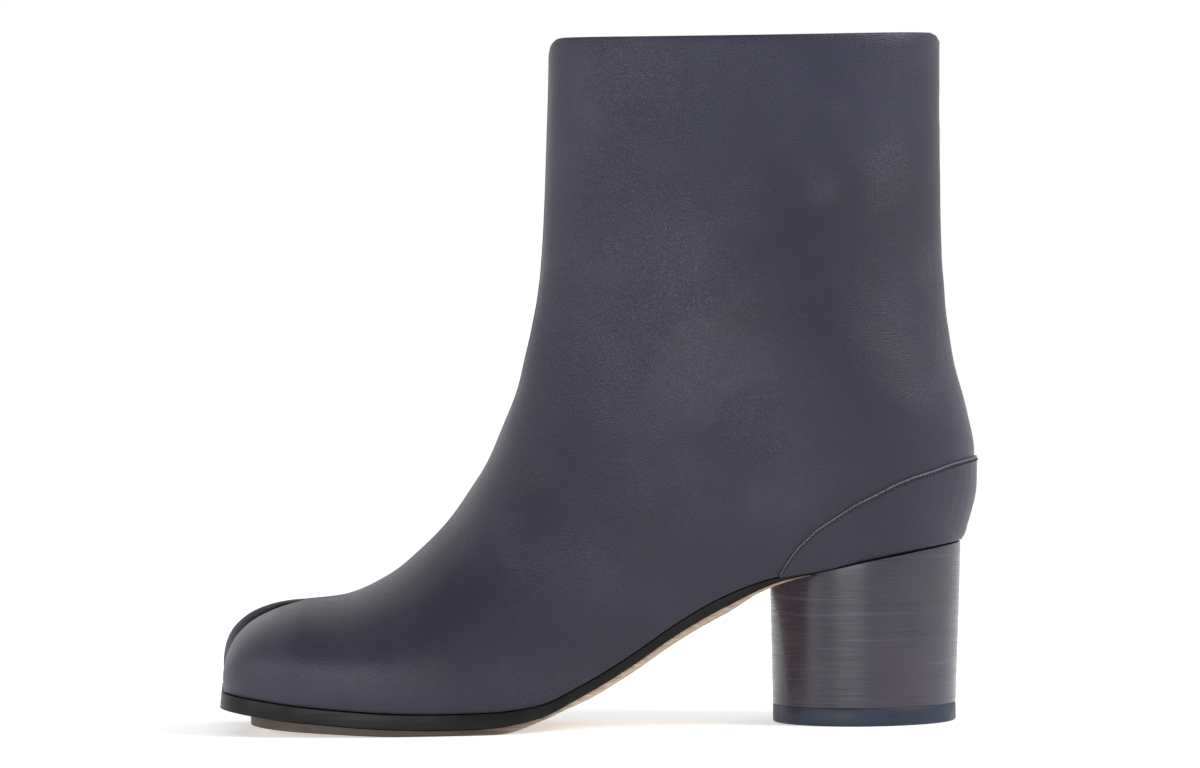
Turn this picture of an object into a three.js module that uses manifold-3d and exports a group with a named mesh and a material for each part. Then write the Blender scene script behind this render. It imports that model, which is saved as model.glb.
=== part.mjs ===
// Split-toe ankle boot for the left foot, on a round stacked heel.
// Millimetres, +Z up, toe towards -X, outer side towards -Y, big toe towards +Y.
// The origin is the centre of the heel's bottom face, on the floor.

import * as THREE from "three";
import { mergeVertices } from "three/addons/utils/BufferGeometryUtils.js";
import Module from "manifold-3d";

const wasm = await Module();
wasm.setup();

// Driving dimensions
const LENGTH = 243.4; // longest reach of the upper, along the floor
const BALL_WIDTH = 83; // widest part of the feather line
const BOOT_HEIGHT = 219; // floor to collar
const SEAT_HEIGHT = 58; // floor to the feather line at the back of the heel
const SEAT_BACK = 30.8; // heel axis to the back end of the seat
const SEAT_HALF_WIDTH = 28.6;
const SHAFT_HALF_WIDTH = 30;
const COLLAR_DIP = 1.5; // how far the top edge sinks at the sides
const COLLAR_CORNER = 3.5; // rounding of the top edge at the front and back seams
const TOE_SPRING = 6.7; // rise of the feather line from ball to toe tip
const TOE_BOX_HEIGHT = 32.1; // feather line to the crest of the toes
const OUTER_TOE = { wall: 8, round: 40 }; // upright part of the front, and length of the rise to the crest
const BIG_TOE = { wall: 9.5, round: 36 };
const TOE_BULGE = 0.4; // how far the toe's front swells past the feather line
const OUTER_TOE_SETBACK = 3; // how far the outer toes stop behind the big toe

const WALL = 1.8;
const FIT_GAP = 0.3; // between pieces that touch on the real boot
const COUNTER_THICKNESS = 0.9;
const INSOLE_THICKNESS = 2.5;
const INSOLE_EASE = 0.5; // from the upper's inside

const CLEFT_LENGTH = 43; // big toe's tip to the end of the cleft on top
const CLEFT_SLOT = 28; // big toe's tip to the crotch, where the slot goes right through
const CLEFT_GAP = 1.8;
const CLEFT_SIDE = 10.5; // heel axis to the cleft, towards the big toe
const CLEFT_SHOULDER_WIDTH = 9.5;
const CLEFT_SHOULDER_DEPTH = 11;
const LOBE_ROUND = 10; // corner of each toe towards the cleft, seen from above

const MIDSOLE_THICKNESS = 4.6;
const MIDSOLE_TOE_THICKNESS = 5.1;
const MIDSOLE_WAIST_THICKNESS = 3.2;
const MIDSOLE_SEAT_THICKNESS = 0.6;
const MIDSOLE_LEDGE = 0.9; // how far the forepart's edge stands out from the feather line
const OUTSOLE_THICKNESS = 1.8;
const OUTSOLE_INSET = 1.7; // from the midsole's edge
const OUTSOLE_SLOT_INSET = 1;
const OUTSOLE_TOE_INSET = 8; // how far it stops behind the midsole's tip
const OUTSOLE_EDGE_THICKNESS = 1;
const OUTSOLE_WAIST_BELLY = 2.6;
const OUTSOLE_REAR_THICKNESS = 0.5;
const OUTSOLE_TOE_LIFT = 2.8;
const OUTSOLE_TONGUE = 12; // how far the outsole runs on under the heel's front

const HEEL_FOOT_RADIUS = 29.2;
const HEEL_TOP_RADIUS = 30.6;
const HEEL_FOOT_X = -0.5; // the heel leans back a little, from its foot to its top
const HEEL_TOP_X = 0.6;
const HEEL_SIDES = 48;
const LIFT_THICKNESS = 5.8;
const LIFT_EDGE = 0.6; // bevel round its foot

const SOLE_STACK = MIDSOLE_THICKNESS + OUTSOLE_THICKNESS + 2 * FIT_GAP;
const TOE_TIP = 0.8505; // share of the length that lies ahead of the heel axis
const TOE_ROWS = 9;
const LOWER_STEPS = 6;
const UPPER_STEPS = 5;
const SHOULDER_STEPS = 5;
const SLOT_STEPS = 3;

// Feather line. at: share of LENGTH from the heel axis towards the toe. outer, inner: share of
// BALL_WIDTH from the axis. rise: share of the way from the ball's height up to the seat's.
const FEATHER = [
  { at: 0.86, outer: 0.4, inner: 0.42, rise: 0 },
  { at: 0.78, outer: 0.43, inner: 0.448, rise: 0 },
  { at: 0.74, outer: 0.462, inner: 0.465, rise: 0 },
  { at: 0.68, outer: 0.5, inner: 0.478, rise: 0 },
  { at: 0.62, outer: 0.523, inner: 0.477, rise: 0 },
  { at: 0.555, outer: 0.52, inner: 0.452, rise: 0 },
  { at: 0.49, outer: 0.497, inner: 0.393, rise: 0.002 },
  { at: 0.43, outer: 0.458, inner: 0.318, rise: 0.034 },
  { at: 0.37, outer: 0.413, inner: 0.262, rise: 0.16 },
  { at: 0.31, outer: 0.378, inner: 0.238, rise: 0.325 },
  { at: 0.245, outer: 0.355, inner: 0.245, rise: 0.53 },
  { at: 0.185, outer: 0.345, inner: 0.27, rise: 0.685 },
  { at: 0.125, outer: 0.344, inner: 0.302, rise: 0.785 },
  { at: 0.06, outer: 0.348, inner: 0.332, rise: 0.838 },
  { at: 0, outer: 0.3446, inner: 0.3446, rise: 0.898 },
  { at: -0.136, outer: 0.3446, inner: 0.3446, rise: 1.008 },
];

// Slices through the foot, from the crotch of the cleft to the back end of the seat. Each runs
// from a point on the feather line up to a point on the toe's or instep's ridge.
// from: bottom point, as a share of LENGTH towards the toe; null is the back end of the seat.
// to, toZ: ridge point, as shares of LENGTH towards the toe and of BOOT_HEIGHT.
// outer, inner: widest half widths from the heel axis, as shares of BALL_WIDTH.
// belly: where along the slice it is widest. round: squareness of its upper half.
const FOOT = [
  { from: 0.7355, to: 0.7355, toZ: 0.1883, outer: 0.483, inner: 0.484, belly: 0.3, round: 2.35 },
  { from: 0.68, to: 0.683, toZ: 0.1942, outer: 0.518, inner: 0.497, belly: 0.28, round: 2.25 },
  { from: 0.62, to: 0.628, toZ: 0.22, outer: 0.542, inner: 0.497, belly: 0.25, round: 2.1 },
  { from: 0.555, to: 0.584, toZ: 0.2571, outer: 0.541, inner: 0.475, belly: 0.23, round: 1.98 },
  { from: 0.49, to: 0.5465, toZ: 0.2978, outer: 0.522, inner: 0.43, belly: 0.22, round: 1.94 },
  { from: 0.425, to: 0.5155, toZ: 0.3448, outer: 0.492, inner: 0.388, belly: 0.23, round: 1.94 },
  { from: 0.355, to: 0.489, toZ: 0.3929, outer: 0.462, inner: 0.368, belly: 0.25, round: 1.96 },
  { from: 0.28, to: 0.4685, toZ: 0.4404, outer: 0.438, inner: 0.37, belly: 0.27, round: 1.98 },
  { from: 0.2, to: 0.4535, toZ: 0.4835, outer: 0.42, inner: 0.385, belly: 0.29, round: 2.0 },
  { from: 0.12, to: 0.4435, toZ: 0.5222, outer: 0.408, inner: 0.394, belly: 0.3, round: 2.02 },
  { from: 0.035, to: 0.4355, toZ: 0.5569, outer: 0.404, inner: 0.402, belly: 0.31, round: 2.05 },
  { from: -0.045, to: 0.4295, toZ: 0.5891, outer: 0.403, inner: 0.403, belly: 0.32, round: 2.06 },
  { from: -0.087, to: 0.4245, toZ: 0.6173, outer: 0.404, inner: 0.404, belly: 0.33, round: 2.08 },
  { from: -0.113, to: 0.4215, toZ: 0.6396, outer: 0.405, inner: 0.405, belly: 0.34, round: 2.1 },
  { from: null, to: 0.42, toZ: 0.651, outer: 0.406, inner: 0.406, belly: 0.345, round: 2.1 },
];

// Slices through the leg, from the back line to the front line.
// from, fromZ, to, toZ, belly, round: as above. half: half width, as a share of SHAFT_HALF_WIDTH.
const LEG = [
  { from: -0.1355, fromZ: 0.2903, to: 0.4185, toZ: 0.6678, half: 1.127, belly: 0.35, round: 2.1 },
  { from: -0.1465, fromZ: 0.3418, to: 0.4167, toZ: 0.6901, half: 1.13, belly: 0.36, round: 2.12 },
  { from: -0.1475, fromZ: 0.3914, to: 0.4148, toZ: 0.7149, half: 1.128, belly: 0.38, round: 2.14 },
  { from: -0.1378, fromZ: 0.4538, to: 0.413, toZ: 0.7441, half: 1.112, belly: 0.41, round: 2.16 },
  { from: -0.1215, fromZ: 0.5291, to: 0.411, toZ: 0.7788, half: 1.085, belly: 0.44, round: 2.2 },
  { from: -0.1123, fromZ: 0.6213, to: 0.409, toZ: 0.8214, half: 1.054, belly: 0.47, round: 2.24 },
  { from: -0.1085, fromZ: 0.7313, to: 0.4068, toZ: 0.8739, half: 1.027, belly: 0.49, round: 2.28 },
  { from: -0.1082, fromZ: 0.8581, to: 0.4047, toZ: 0.9314, half: 1.008, belly: 0.5, round: 2.32 },
  { from: -0.1105, fromZ: 1, to: 0.4035, toZ: 1, half: 1, belly: 0.5, round: 2.36 },
];
const BACK_ROUND = 2.1; // squareness of the back half of each slice

// Top edge of the counter, seen from the side, from the waist up to the back seam.
// at: share of LENGTH towards the toe. up: share of BOOT_HEIGHT.
const COUNTER_EDGE = [
  { at: 0.119, up: 0.2105 },
  { at: 0.1159, up: 0.218 },
  { at: 0.1073, up: 0.2373 },
  { at: 0.0925, up: 0.2592 },
  { at: 0.0677, up: 0.2848 },
  { at: 0.0429, up: 0.3022 },
  { at: 0.018, up: 0.3195 },
  { at: -0.0069, up: 0.3326 },
  { at: -0.032, up: 0.3466 },
  { at: -0.0574, up: 0.3575 },
  { at: -0.083, up: 0.3655 },
  { at: -0.1095, up: 0.3752 },
  { at: -0.16, up: 0.388 },
];

const SIDES = [-1, 1]; // outer side, big-toe side
const tipX = (side) => -TOE_TIP * LENGTH + (side < 0 ? OUTER_TOE_SETBACK : 0);
const crotchX = -TOE_TIP * LENGTH + CLEFT_SLOT;
const cleftEndX = -TOE_TIP * LENGTH + CLEFT_LENGTH;

const mix = (a, b, t) => a + (b - a) * t;
const clamp01 = (t) => Math.min(1, Math.max(0, t));
const ease = (t) => clamp01(t) ** 2 * (3 - 2 * clamp01(t));
const bow = (t, power) => (1 - (1 - clamp01(t)) ** power) ** (1 / power);

// Smooth value of one column of a table whose rows run along the key column.
function along(table, key, column, where) {
  const rising = table[1][key] > table[0][key];
  let i = 0;
  while (i < table.length - 2 && (rising ? where > table[i + 1][key] : where < table[i + 1][key])) i++;
  const a = table[i];
  const b = table[i + 1];
  const slope = (p, q) => (q[column] - p[column]) / (q[key] - p[key]);
  const here = slope(a, b);
  const before = i > 0 ? slope(table[i - 1], a) : here;
  const after = i < table.length - 2 ? slope(b, table[i + 2]) : here;
  const gentle = (m, n) => (m * n <= 0 ? 0 : (2 * m * n) / (m + n));
  const step = b[key] - a[key];
  const t = clamp01((where - a[key]) / step);
  const h = [2 * t ** 3 - 3 * t ** 2 + 1, t ** 3 - 2 * t ** 2 + t, -2 * t ** 3 + 3 * t ** 2, t ** 3 - t ** 2];
  return (
    h[0] * a[column] + h[1] * step * gentle(before, here) + h[2] * b[column] + h[3] * step * gentle(here, after)
  );
}

// Feather line: height and half widths at a place along the boot
function featherZ(x) {
  const rise = along(FEATHER, "at", "rise", -x / LENGTH);
  const toTip = clamp01((-x / LENGTH - 0.56) / (TOE_TIP - 0.56));
  return SOLE_STACK + rise * (SEAT_HEIGHT - SOLE_STACK) + TOE_SPRING * toTip ** 1.7;
}

function featherY(x, side) {
  if (x > 0) return SEAT_HALF_WIDTH * Math.sqrt(Math.max(0, 1 - (x / SEAT_BACK) ** 2));
  const seatShare = along(FEATHER, "at", side < 0 ? "outer" : "inner", 0);
  const share = along(FEATHER, "at", side < 0 ? "outer" : "inner", -x / LENGTH);
  return share * BALL_WIDTH + (SEAT_HALF_WIDTH - seatShare * BALL_WIDTH) * ease(1 + x / (0.25 * LENGTH));
}

// The line of the cleft and of the front seam, as seen from above
function cleftY(x) {
  return CLEFT_SIDE * ease((-x / LENGTH - 0.3) / 0.36);
}

// One slice's numbers on one side. Distances across are measured from the cleft line.
function toeSlice(row, side) {
  const share = 1 - Math.cos(((row + 0.35) / (TOE_ROWS + 0.35)) * (Math.PI / 2));
  const x = mix(tipX(side), crotchX, share);
  const back = x - tipX(side);
  const centre = cleftY(x);
  const edge = featherY(x, side) - side * centre;
  const tip = side < 0 ? 0.47 : 0.52;
  const tipAcross = tip * (featherY(crotchX, side) - side * cleftY(crotchX));
  const half = CLEFT_GAP / 2;
  const outer = mix(tipAcross, edge, bow(back / (side < 0 ? 26 : 20), 2.2));
  const inner = mix(tipAcross, half, bow(back / LOBE_ROUND, 2.1));
  const width = outer - inner;
  const toe = side < 0 ? OUTER_TOE : BIG_TOE;
  const crestAt = (from) => toe.wall + (TOE_BOX_HEIGHT - toe.wall) * bow(from / toe.round, 2.05);
  const span = crotchX - tipX(side);
  const lack = FOOT[0].toZ * BOOT_HEIGHT - featherZ(crotchX) - crestAt(span);
  const crest = crestAt(back) + lack * (back / span) ** 3;
  const { belly, round } = FOOT[0];
  const crotchSwell = FOOT[0][side < 0 ? "outer" : "inner"] * BALL_WIDTH - featherY(crotchX, side);
  const closing = mix(0.5, 1, bow(back / LOBE_ROUND, 2));
  return {
    from: [x, featherZ(x)],
    to: [x, featherZ(x) + crest],
    centre,
    inner,
    edge: outer,
    widest: outer + crotchSwell * bow(back / LOBE_ROUND, 2),
    belly,
    round,
    shoulder: [Math.min(CLEFT_SHOULDER_WIDTH, 0.45 * width), CLEFT_SHOULDER_DEPTH * closing],
    slot: true,
    bulge: TOE_BULGE * (1 - bow(back / toe.round, 2)),
    collar: 0,
  };
}

// The rows of both tables in millimetres
const SLICES = [
  ...FOOT.map((row) => ({
    ...row,
    from: row.from === null ? SEAT_BACK : -row.from * LENGTH,
    fromZ: featherZ(row.from === null ? SEAT_BACK : -row.from * LENGTH),
    outer: row.outer * BALL_WIDTH,
    inner: row.inner * BALL_WIDTH,
  })),
  ...LEG.map((row) => ({
    ...row,
    from: -row.from * LENGTH,
    fromZ: row.fromZ * BOOT_HEIGHT,
    outer: row.half * SHAFT_HALF_WIDTH,
    inner: row.half * SHAFT_HALF_WIDTH,
  })),
].map((row, at) => ({ ...row, at, to: -row.to * LENGTH, toZ: row.toZ * BOOT_HEIGHT }));
const SEAT_END = FOOT.length - 1;
const HIGH = 4 * BOOT_HEIGHT; // taller than anything that is cut

function bodySlice(place, side) {
  const of = (column) => along(SLICES, "at", column, place);
  const onSole = place < SEAT_END;
  const from = [of("from"), onSole ? featherZ(of("from")) : of("fromZ")];
  const to = [of("to"), of("toZ")];
  const centre = cleftY(mix(from[0], to[0], 0.6));
  const faded = 1 - ease((to[0] - crotchX) / (cleftEndX - crotchX));
  return {
    from,
    to,
    centre,
    inner: 0,
    edge: onSole ? featherY(from[0], side) - side * centre : 0,
    widest: of(side < 0 ? "outer" : "inner") - side * centre,
    belly: of("belly"),
    round: of("round"),
    shoulder: [CLEFT_SHOULDER_WIDTH, CLEFT_SHOULDER_DEPTH * faded],
    slot: false,
    bulge: 0,
    collar: clamp01(place - (SLICES.length - 2)),
  };
}

// How far the top edge sinks, from the distance to the nearer seam and the share of the half width
function collarSink(toSeam, acrossShare) {
  const corner = 1 - clamp01(Math.abs(toSeam) / COLLAR_CORNER);
  return COLLAR_DIP * acrossShare ** 2 + COLLAR_CORNER * (1 - Math.sqrt(1 - corner ** 2));
}

// Points of one slice on one side, from the bottom edge over the side to the cleft or front seam,
// then, beside the slot, down its wall
function slicePoints(slice, side) {
  const [fromX, fromZ] = slice.from;
  const reach = new THREE.Vector2(slice.to[0] - fromX, slice.to[1] - fromZ);
  const { belly, widest, edge, round, inner, bulge, collar } = slice;
  const place = (up, across) => {
    const swell = bulge * 4 * up * (1 - up);
    const sunk = collar * collarSink(Math.min(up, 1 - up) * reach.x, across / widest);
    return new THREE.Vector3(
      fromX + reach.x * up - swell,
      slice.centre + side * across,
      fromZ + reach.y * up - sunk,
    );
  };
  const points = [];
  const firstTurn = Math.acos(clamp01(edge / widest) ** (BACK_ROUND / 2));
  const drop = Math.sin(firstTurn) ** (2 / BACK_ROUND);
  for (let i = 0; i < LOWER_STEPS; i++) {
    const turn = (1 - i / LOWER_STEPS) * firstTurn;
    const up = belly * (1 - Math.sin(turn) ** (2 / BACK_ROUND) / drop);
    points.push(place(up, widest * Math.cos(turn) ** (2 / BACK_ROUND)));
  }
  const [shoulderWidth, shoulderDepth] = slice.shoulder;
  const shoulder = inner + shoulderWidth;
  const lastTurn = Math.acos(clamp01(shoulder / widest) ** (round / 2));
  for (let i = 0; i < UPPER_STEPS; i++) {
    const turn = (i / UPPER_STEPS) * lastTurn;
    const up = belly + (1 - belly) * Math.sin(turn) ** (2 / round);
    points.push(place(up, widest * Math.cos(turn) ** (2 / round)));
  }
  const height = reach.length();
  for (let i = 0; i <= SHOULDER_STEPS; i++) {
    const turn = (i / SHOULDER_STEPS) * (Math.PI / 2);
    const across = inner + shoulderWidth * (1 - Math.sin(turn));
    const base = belly + (1 - belly) * (1 - (across / widest) ** round) ** (1 / round);
    points.push(place(base - (shoulderDepth * (1 - Math.cos(turn))) / height, across));
  }
  if (slice.slot) {
    const top = points.at(-1);
    const foot = place(0, inner);
    for (let i = 1; i <= SLOT_STEPS; i++) points.push(top.clone().lerp(foot, i / SLOT_STEPS));
  }
  return points;
}

// Rows of slices: the toes in front of the crotch, then the body behind it
const toePlaces = Array.from({ length: TOE_ROWS }, (_, row) => row);
const solePlaces = Array.from({ length: 2 * SEAT_END + 1 }, (_, i) => i / 2);
const bodyPlaces = [...solePlaces, ...LEG.map((_, row) => SEAT_END + 1 + row)];
const toeSlices = (side) => toePlaces.map((row) => toeSlice(row, side));
const bodySlices = (side) => bodyPlaces.map((place) => bodySlice(place, side));

// Both sides' rows of points on the outside of the upper. A toe row ends down the slot's wall, and
// so does the crotch's row, which is the last toe row and the first body row.
const SKIN = SIDES.map((side) => {
  const crotch = bodySlice(0, side);
  return {
    side,
    toes: [...toeSlices(side), { ...crotch, slot: true }].map((slice) => slicePoints(slice, side)),
    body: bodySlices(side).map((slice) => slicePoints(slice, side)),
  };
});

const keyOf = (p) => `${Math.round(p.x * 1e4)},${Math.round(p.y * 1e4)},${Math.round(p.z * 1e4)}`;

// Triangles between two neighbouring rows of points, facing out on the given side
function stitch(triangles, side, row, next) {
  for (let j = 0; j + 1 < row.length; j++) {
    const [a, b, c, d] = [row[j], row[j + 1], next[j + 1], next[j]];
    const pair = side < 0 ? [[a, d, b], [d, c, b]] : [[a, b, d], [d, b, c]];
    triangles.push(...pair);
  }
}

function stitchAll(triangles, side, rows) {
  for (let i = 0; i + 1 < rows.length; i++) stitch(triangles, side, rows[i], rows[i + 1]);
}

// Triangles that close a ring of points, facing the given way
function cap(triangles, ring, facing) {
  const middle = ring.reduce((sum, p) => sum.add(p), new THREE.Vector3()).divideScalar(ring.length);
  const pairs = ring.map((p, i) => [p, ring[(i + 1) % ring.length]]);
  const normal = new THREE.Vector3();
  for (const [p, q] of pairs) normal.add(p.clone().sub(middle).cross(q.clone().sub(middle)));
  const turned = normal.dot(facing) < 0;
  triangles.push(...pairs.map(([p, q]) => (turned ? [middle, q, p] : [middle, p, q])));
}

// Outward direction of the skin at each of its points
const NORMALS = new Map();
for (const { side, toes, body } of SKIN) {
  const triangles = [];
  stitchAll(triangles, side, toes);
  stitchAll(triangles, side, body);
  for (const [a, b, c] of triangles) {
    const normal = b.clone().sub(a).cross(c.clone().sub(a)).normalize();
    for (const p of [a, b, c]) {
      const sum = NORMALS.get(keyOf(p)) ?? new THREE.Vector3();
      NORMALS.set(keyOf(p), sum.add(normal));
    }
  }
}
NORMALS.forEach((normal) => normal.normalize());

// Closed solid from triangles of points, with what shares a place welded
function solidOf(triangles) {
  const numbers = new Map();
  const vertices = [];
  const indexOf = (p) => {
    const key = keyOf(p);
    if (!numbers.has(key)) {
      numbers.set(key, vertices.length / 3);
      vertices.push(p.x, p.y, p.z);
    }
    return numbers.get(key);
  };
  const indices = triangles
    .map((corners) => corners.map(indexOf))
    .filter(([a, b, c]) => a !== b && b !== c && c !== a)
    .flat();
  return new wasm.Manifold(
    new wasm.Mesh({
      numProp: 3,
      vertProperties: new Float32Array(vertices),
      triVerts: new Uint32Array(indices),
    }),
  );
}

// The whole boot's form as one closed solid, grown outward from the upper's outside. A form that
// hollows out another runs on below the feather line by drop and above the collar by rise.
function bootForm(grow, drop = 0, rise = 0) {
  const grown = (p) => p.clone().addScaledVector(NORMALS.get(keyOf(p)), grow);
  const lowered = (p) => p.clone().add(new THREE.Vector3(0, 0, -drop));
  const triangles = [];
  const lastRings = [];
  for (const { side, toes, body } of SKIN) {
    const toeRows = toes.map((row) => {
      const points = row.map(grown);
      const foot = lowered(points.at(-1));
      return [foot, lowered(points[0]), ...points, foot];
    });
    const bodyRows = body.map((row) => row.map(grown));
    const crotchFoot = grown(toes.at(-1).at(-1));
    const soleRows = solePlaces.map((place, i) => {
      const edge = bodyRows[i][0];
      const slice = bodySlice(place, side);
      const bottom = new THREE.Vector3(slice.from[0], slice.centre, slice.from[1]);
      const middle = place === 0 ? crotchFoot : place === SEAT_END ? edge : bottom;
      return [lowered(middle), lowered(edge), edge];
    });
    if (rise > 0) bodyRows.push(bodyRows.at(-1).map((p) => p.clone().add(new THREE.Vector3(0, 0, rise))));
    stitchAll(triangles, side, toeRows);
    stitchAll(triangles, side, bodyRows);
    stitchAll(triangles, side, soleRows);
    cap(triangles, toeRows[0].slice(0, -1), new THREE.Vector3(-1, 0, 0));
    lastRings.push(bodyRows.at(-1));
  }
  cap(triangles, [...lastRings[0], ...lastRings[1].slice(1, -1).reverse()], new THREE.Vector3(0, 0, 1));
  return solidOf(triangles);
}

// Outline of the feather line from above, moved outward by grow(x) and, along the slot, by slotGrow
function planOutline(grow, slotGrow) {
  const points = [];
  for (const side of SIDES) {
    const toes = toeSlices(side);
    const sole = bodySlices(side).filter((_, i) => bodyPlaces[i] > 0 && bodyPlaces[i] < SEAT_END);
    const at = (slice, across, share) => ({ x: slice.from[0], y: slice.centre + side * across, share });
    const slotShare = (slice) => clamp01((slice.inner - CLEFT_GAP / 2) / (0.5 * LOBE_ROUND));
    const run = [
      { x: crotchX, y: cleftY(crotchX), share: 0 },
      ...[...toes].reverse().map((slice) => at(slice, slice.inner, slotShare(slice))),
      ...toes.map((slice) => at(slice, slice.edge, 1)),
      at(bodySlice(0, side), bodySlice(0, side).edge, 1),
      ...sole.map((slice) => at(slice, slice.edge, 1)),
      { x: SEAT_BACK, y: 0, share: 1 },
    ];
    points.push(...(side < 0 ? run : run.reverse().slice(1, -1)));
  }
  return points.map((p, i) => {
    const before = points[(i + points.length - 1) % points.length];
    const after = points[(i + 1) % points.length];
    const way = new THREE.Vector2(after.x - before.x, after.y - before.y).normalize();
    const by = p.share * grow(p.x) + (1 - p.share) * slotGrow;
    return new THREE.Vector2(p.x + way.y * by, p.y - way.x * by);
  });
}

// Upright solid over an outline, through the whole height of the boot
function upright(outline) {
  const section = new wasm.CrossSection([outline.map((p) => [p.x, p.y])]);
  return section.extrude(HIGH).translate([0, 0, -HIGH / 2]);
}

// Closed solid from a closed three.js geometry
function solidFrom(geometry) {
  const bare = geometry.index ? geometry.toNonIndexed() : geometry.clone();
  bare.deleteAttribute("normal");
  bare.deleteAttribute("uv");
  const merged = mergeVertices(bare, 1e-4);
  return new wasm.Manifold(
    new wasm.Mesh({
      numProp: 3,
      vertProperties: new Float32Array(merged.attributes.position.array),
      triVerts: new Uint32Array(merged.index.array),
    }),
  );
}

// Solid between two height fields over a grid of stations along and across the boot
function slab(stations, across, bottom, top) {
  const rows = (height) =>
    stations.map((x) => across.map((y) => new THREE.Vector3(x, y, height(x, y))));
  const [low, high] = [rows(bottom), rows(top)];
  const loops = low.map((row, i) => [...row, ...[...high[i]].reverse(), row[0]]);
  const triangles = [];
  stitchAll(triangles, 1, loops);
  for (const [i, way] of [[0, -1], [loops.length - 1, 1]]) {
    for (let j = 0; j + 1 < across.length; j++) {
      const [a, b, c, d] = [low[i][j], low[i][j + 1], high[i][j + 1], high[i][j]];
      triangles.push(...(way > 0 ? [[a, b, c], [a, c, d]] : [[a, c, b], [a, d, c]]));
    }
  }
  return solidOf(triangles);
}

function spaced(low, high, count) {
  return Array.from({ length: count + 1 }, (_, i) => mix(low, high, i / count));
}

// Pieces

const share = (x) => -x / LENGTH;
const fade = (x, from, to, low, high) => mix(low, high, ease((share(x) - from) / (to - from)));

function midsoleThickness(x) {
  const fore = fade(x, 0.38, 0.52, MIDSOLE_WAIST_THICKNESS, MIDSOLE_THICKNESS);
  return fade(x, 0.08, 0.2, MIDSOLE_SEAT_THICKNESS, fade(x, 0.7, 0.8, fore, MIDSOLE_TOE_THICKNESS));
}
const midsoleTop = (x) => featherZ(x) - FIT_GAP;
const midsoleBottom = (x) => midsoleTop(x) - midsoleThickness(x);
const midsoleLedge = (x) => fade(x, 0.36, 0.5, 0, MIDSOLE_LEDGE);

const outsoleTop = (x) => midsoleBottom(x) - FIT_GAP;
const outsoleInset = (x) => OUTSOLE_INSET - midsoleLedge(x);
const heelBreast = HEEL_TOP_X - HEEL_TOP_RADIUS;

// The outsole is flat on the floor under the ball, full at the toe, and hangs in a belly at the waist
function outsoleBottom(x, y) {
  const half = Math.max(1, (featherY(x, -1) + featherY(x, 1)) / 2);
  const middle = (featherY(x, 1) - featherY(x, -1)) / 2;
  const round = Math.max(0, 1 - ((y - middle) / half) ** 2);
  const waist = ease((0.44 - share(x)) / 0.08) * ease((share(x) - share(heelBreast)) / 0.06);
  const edge = fade(x, 0.07, 0.15, OUTSOLE_REAR_THICKNESS, OUTSOLE_EDGE_THICKNESS);
  const hung = outsoleTop(x) - edge - OUTSOLE_WAIST_BELLY * waist * round;
  const toeLift = OUTSOLE_TOE_LIFT * clamp01((share(x) - 0.61) / 0.2) ** 1.3;
  return mix(hung, toeLift, ease((share(x) - 0.42) / 0.07));
}

const soleStations = spaced(-TOE_TIP * LENGTH - 4, SEAT_BACK + 4, 36);
const levelAcross = [-BALL_WIDTH, BALL_WIDTH];
const bellyAcross = spaced(-BALL_WIDTH * 0.6, BALL_WIDTH * 0.6, 10);

const outer = bootForm(0);
const hollow = bootForm(-WALL, 8, 8);
const upper = outer.subtract(hollow);

const midsole = upright(planOutline(midsoleLedge, 0)).intersect(
  slab(soleStations, levelAcross, midsoleBottom, midsoleTop),
);

function outsoleForm(grow) {
  const outline = planOutline((x) => grow - outsoleInset(x), grow - OUTSOLE_SLOT_INSET);
  const body = slab(soleStations, bellyAcross, (x, y) => outsoleBottom(x, y) - grow, (x) => outsoleTop(x) + grow);
  const toe = upright(planOutline(() => grow, grow - OUTSOLE_SLOT_INSET)).translate([OUTSOLE_TOE_INSET, 0, 0]);
  const rear = new THREE.BoxGeometry(LENGTH, 2 * BALL_WIDTH, HIGH);
  rear.translate(heelBreast + OUTSOLE_TONGUE + grow - LENGTH / 2, 0, 0);
  return upright(outline).intersect(body).intersect(toe).intersect(solidFrom(rear));
}
const outsole = outsoleForm(0);

const insole = bootForm(-(WALL + INSOLE_EASE), 8, 8).intersect(
  slab(soleStations, levelAcross, featherZ, (x) => featherZ(x) + INSOLE_THICKNESS),
);

const heelBlockForm = new THREE.LatheGeometry(
  [
    new THREE.Vector2(0, LIFT_THICKNESS),
    new THREE.Vector2(HEEL_FOOT_RADIUS, LIFT_THICKNESS),
    new THREE.Vector2(HEEL_TOP_RADIUS, SEAT_HEIGHT),
    new THREE.Vector2(0, SEAT_HEIGHT),
  ],
  HEEL_SIDES,
).rotateX(Math.PI / 2);
const heelLean = (HEEL_TOP_X - HEEL_FOOT_X) / (SEAT_HEIGHT - LIFT_THICKNESS);
heelBlockForm.applyMatrix4(new THREE.Matrix4().makeShear(0, 0, 0, 0, heelLean, 0));
heelBlockForm.translate(HEEL_FOOT_X - heelLean * LIFT_THICKNESS, 0, 0);
const aboveSeat = slab(soleStations, levelAcross, (x) => midsoleBottom(x) - FIT_GAP, () => HIGH);
const heelBlock = solidFrom(heelBlockForm).subtract(aboveSeat).subtract(outsoleForm(FIT_GAP));

const topLift = solidFrom(
  new THREE.LatheGeometry(
    [
      new THREE.Vector2(0, 0),
      new THREE.Vector2(HEEL_FOOT_RADIUS - LIFT_EDGE, 0),
      new THREE.Vector2(HEEL_FOOT_RADIUS, LIFT_EDGE),
      new THREE.Vector2(HEEL_FOOT_RADIUS, LIFT_THICKNESS),
      new THREE.Vector2(0, LIFT_THICKNESS),
    ],
    HEEL_SIDES,
  )
    .rotateX(Math.PI / 2)
    .translate(HEEL_FOOT_X, 0, 0),
);

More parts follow.
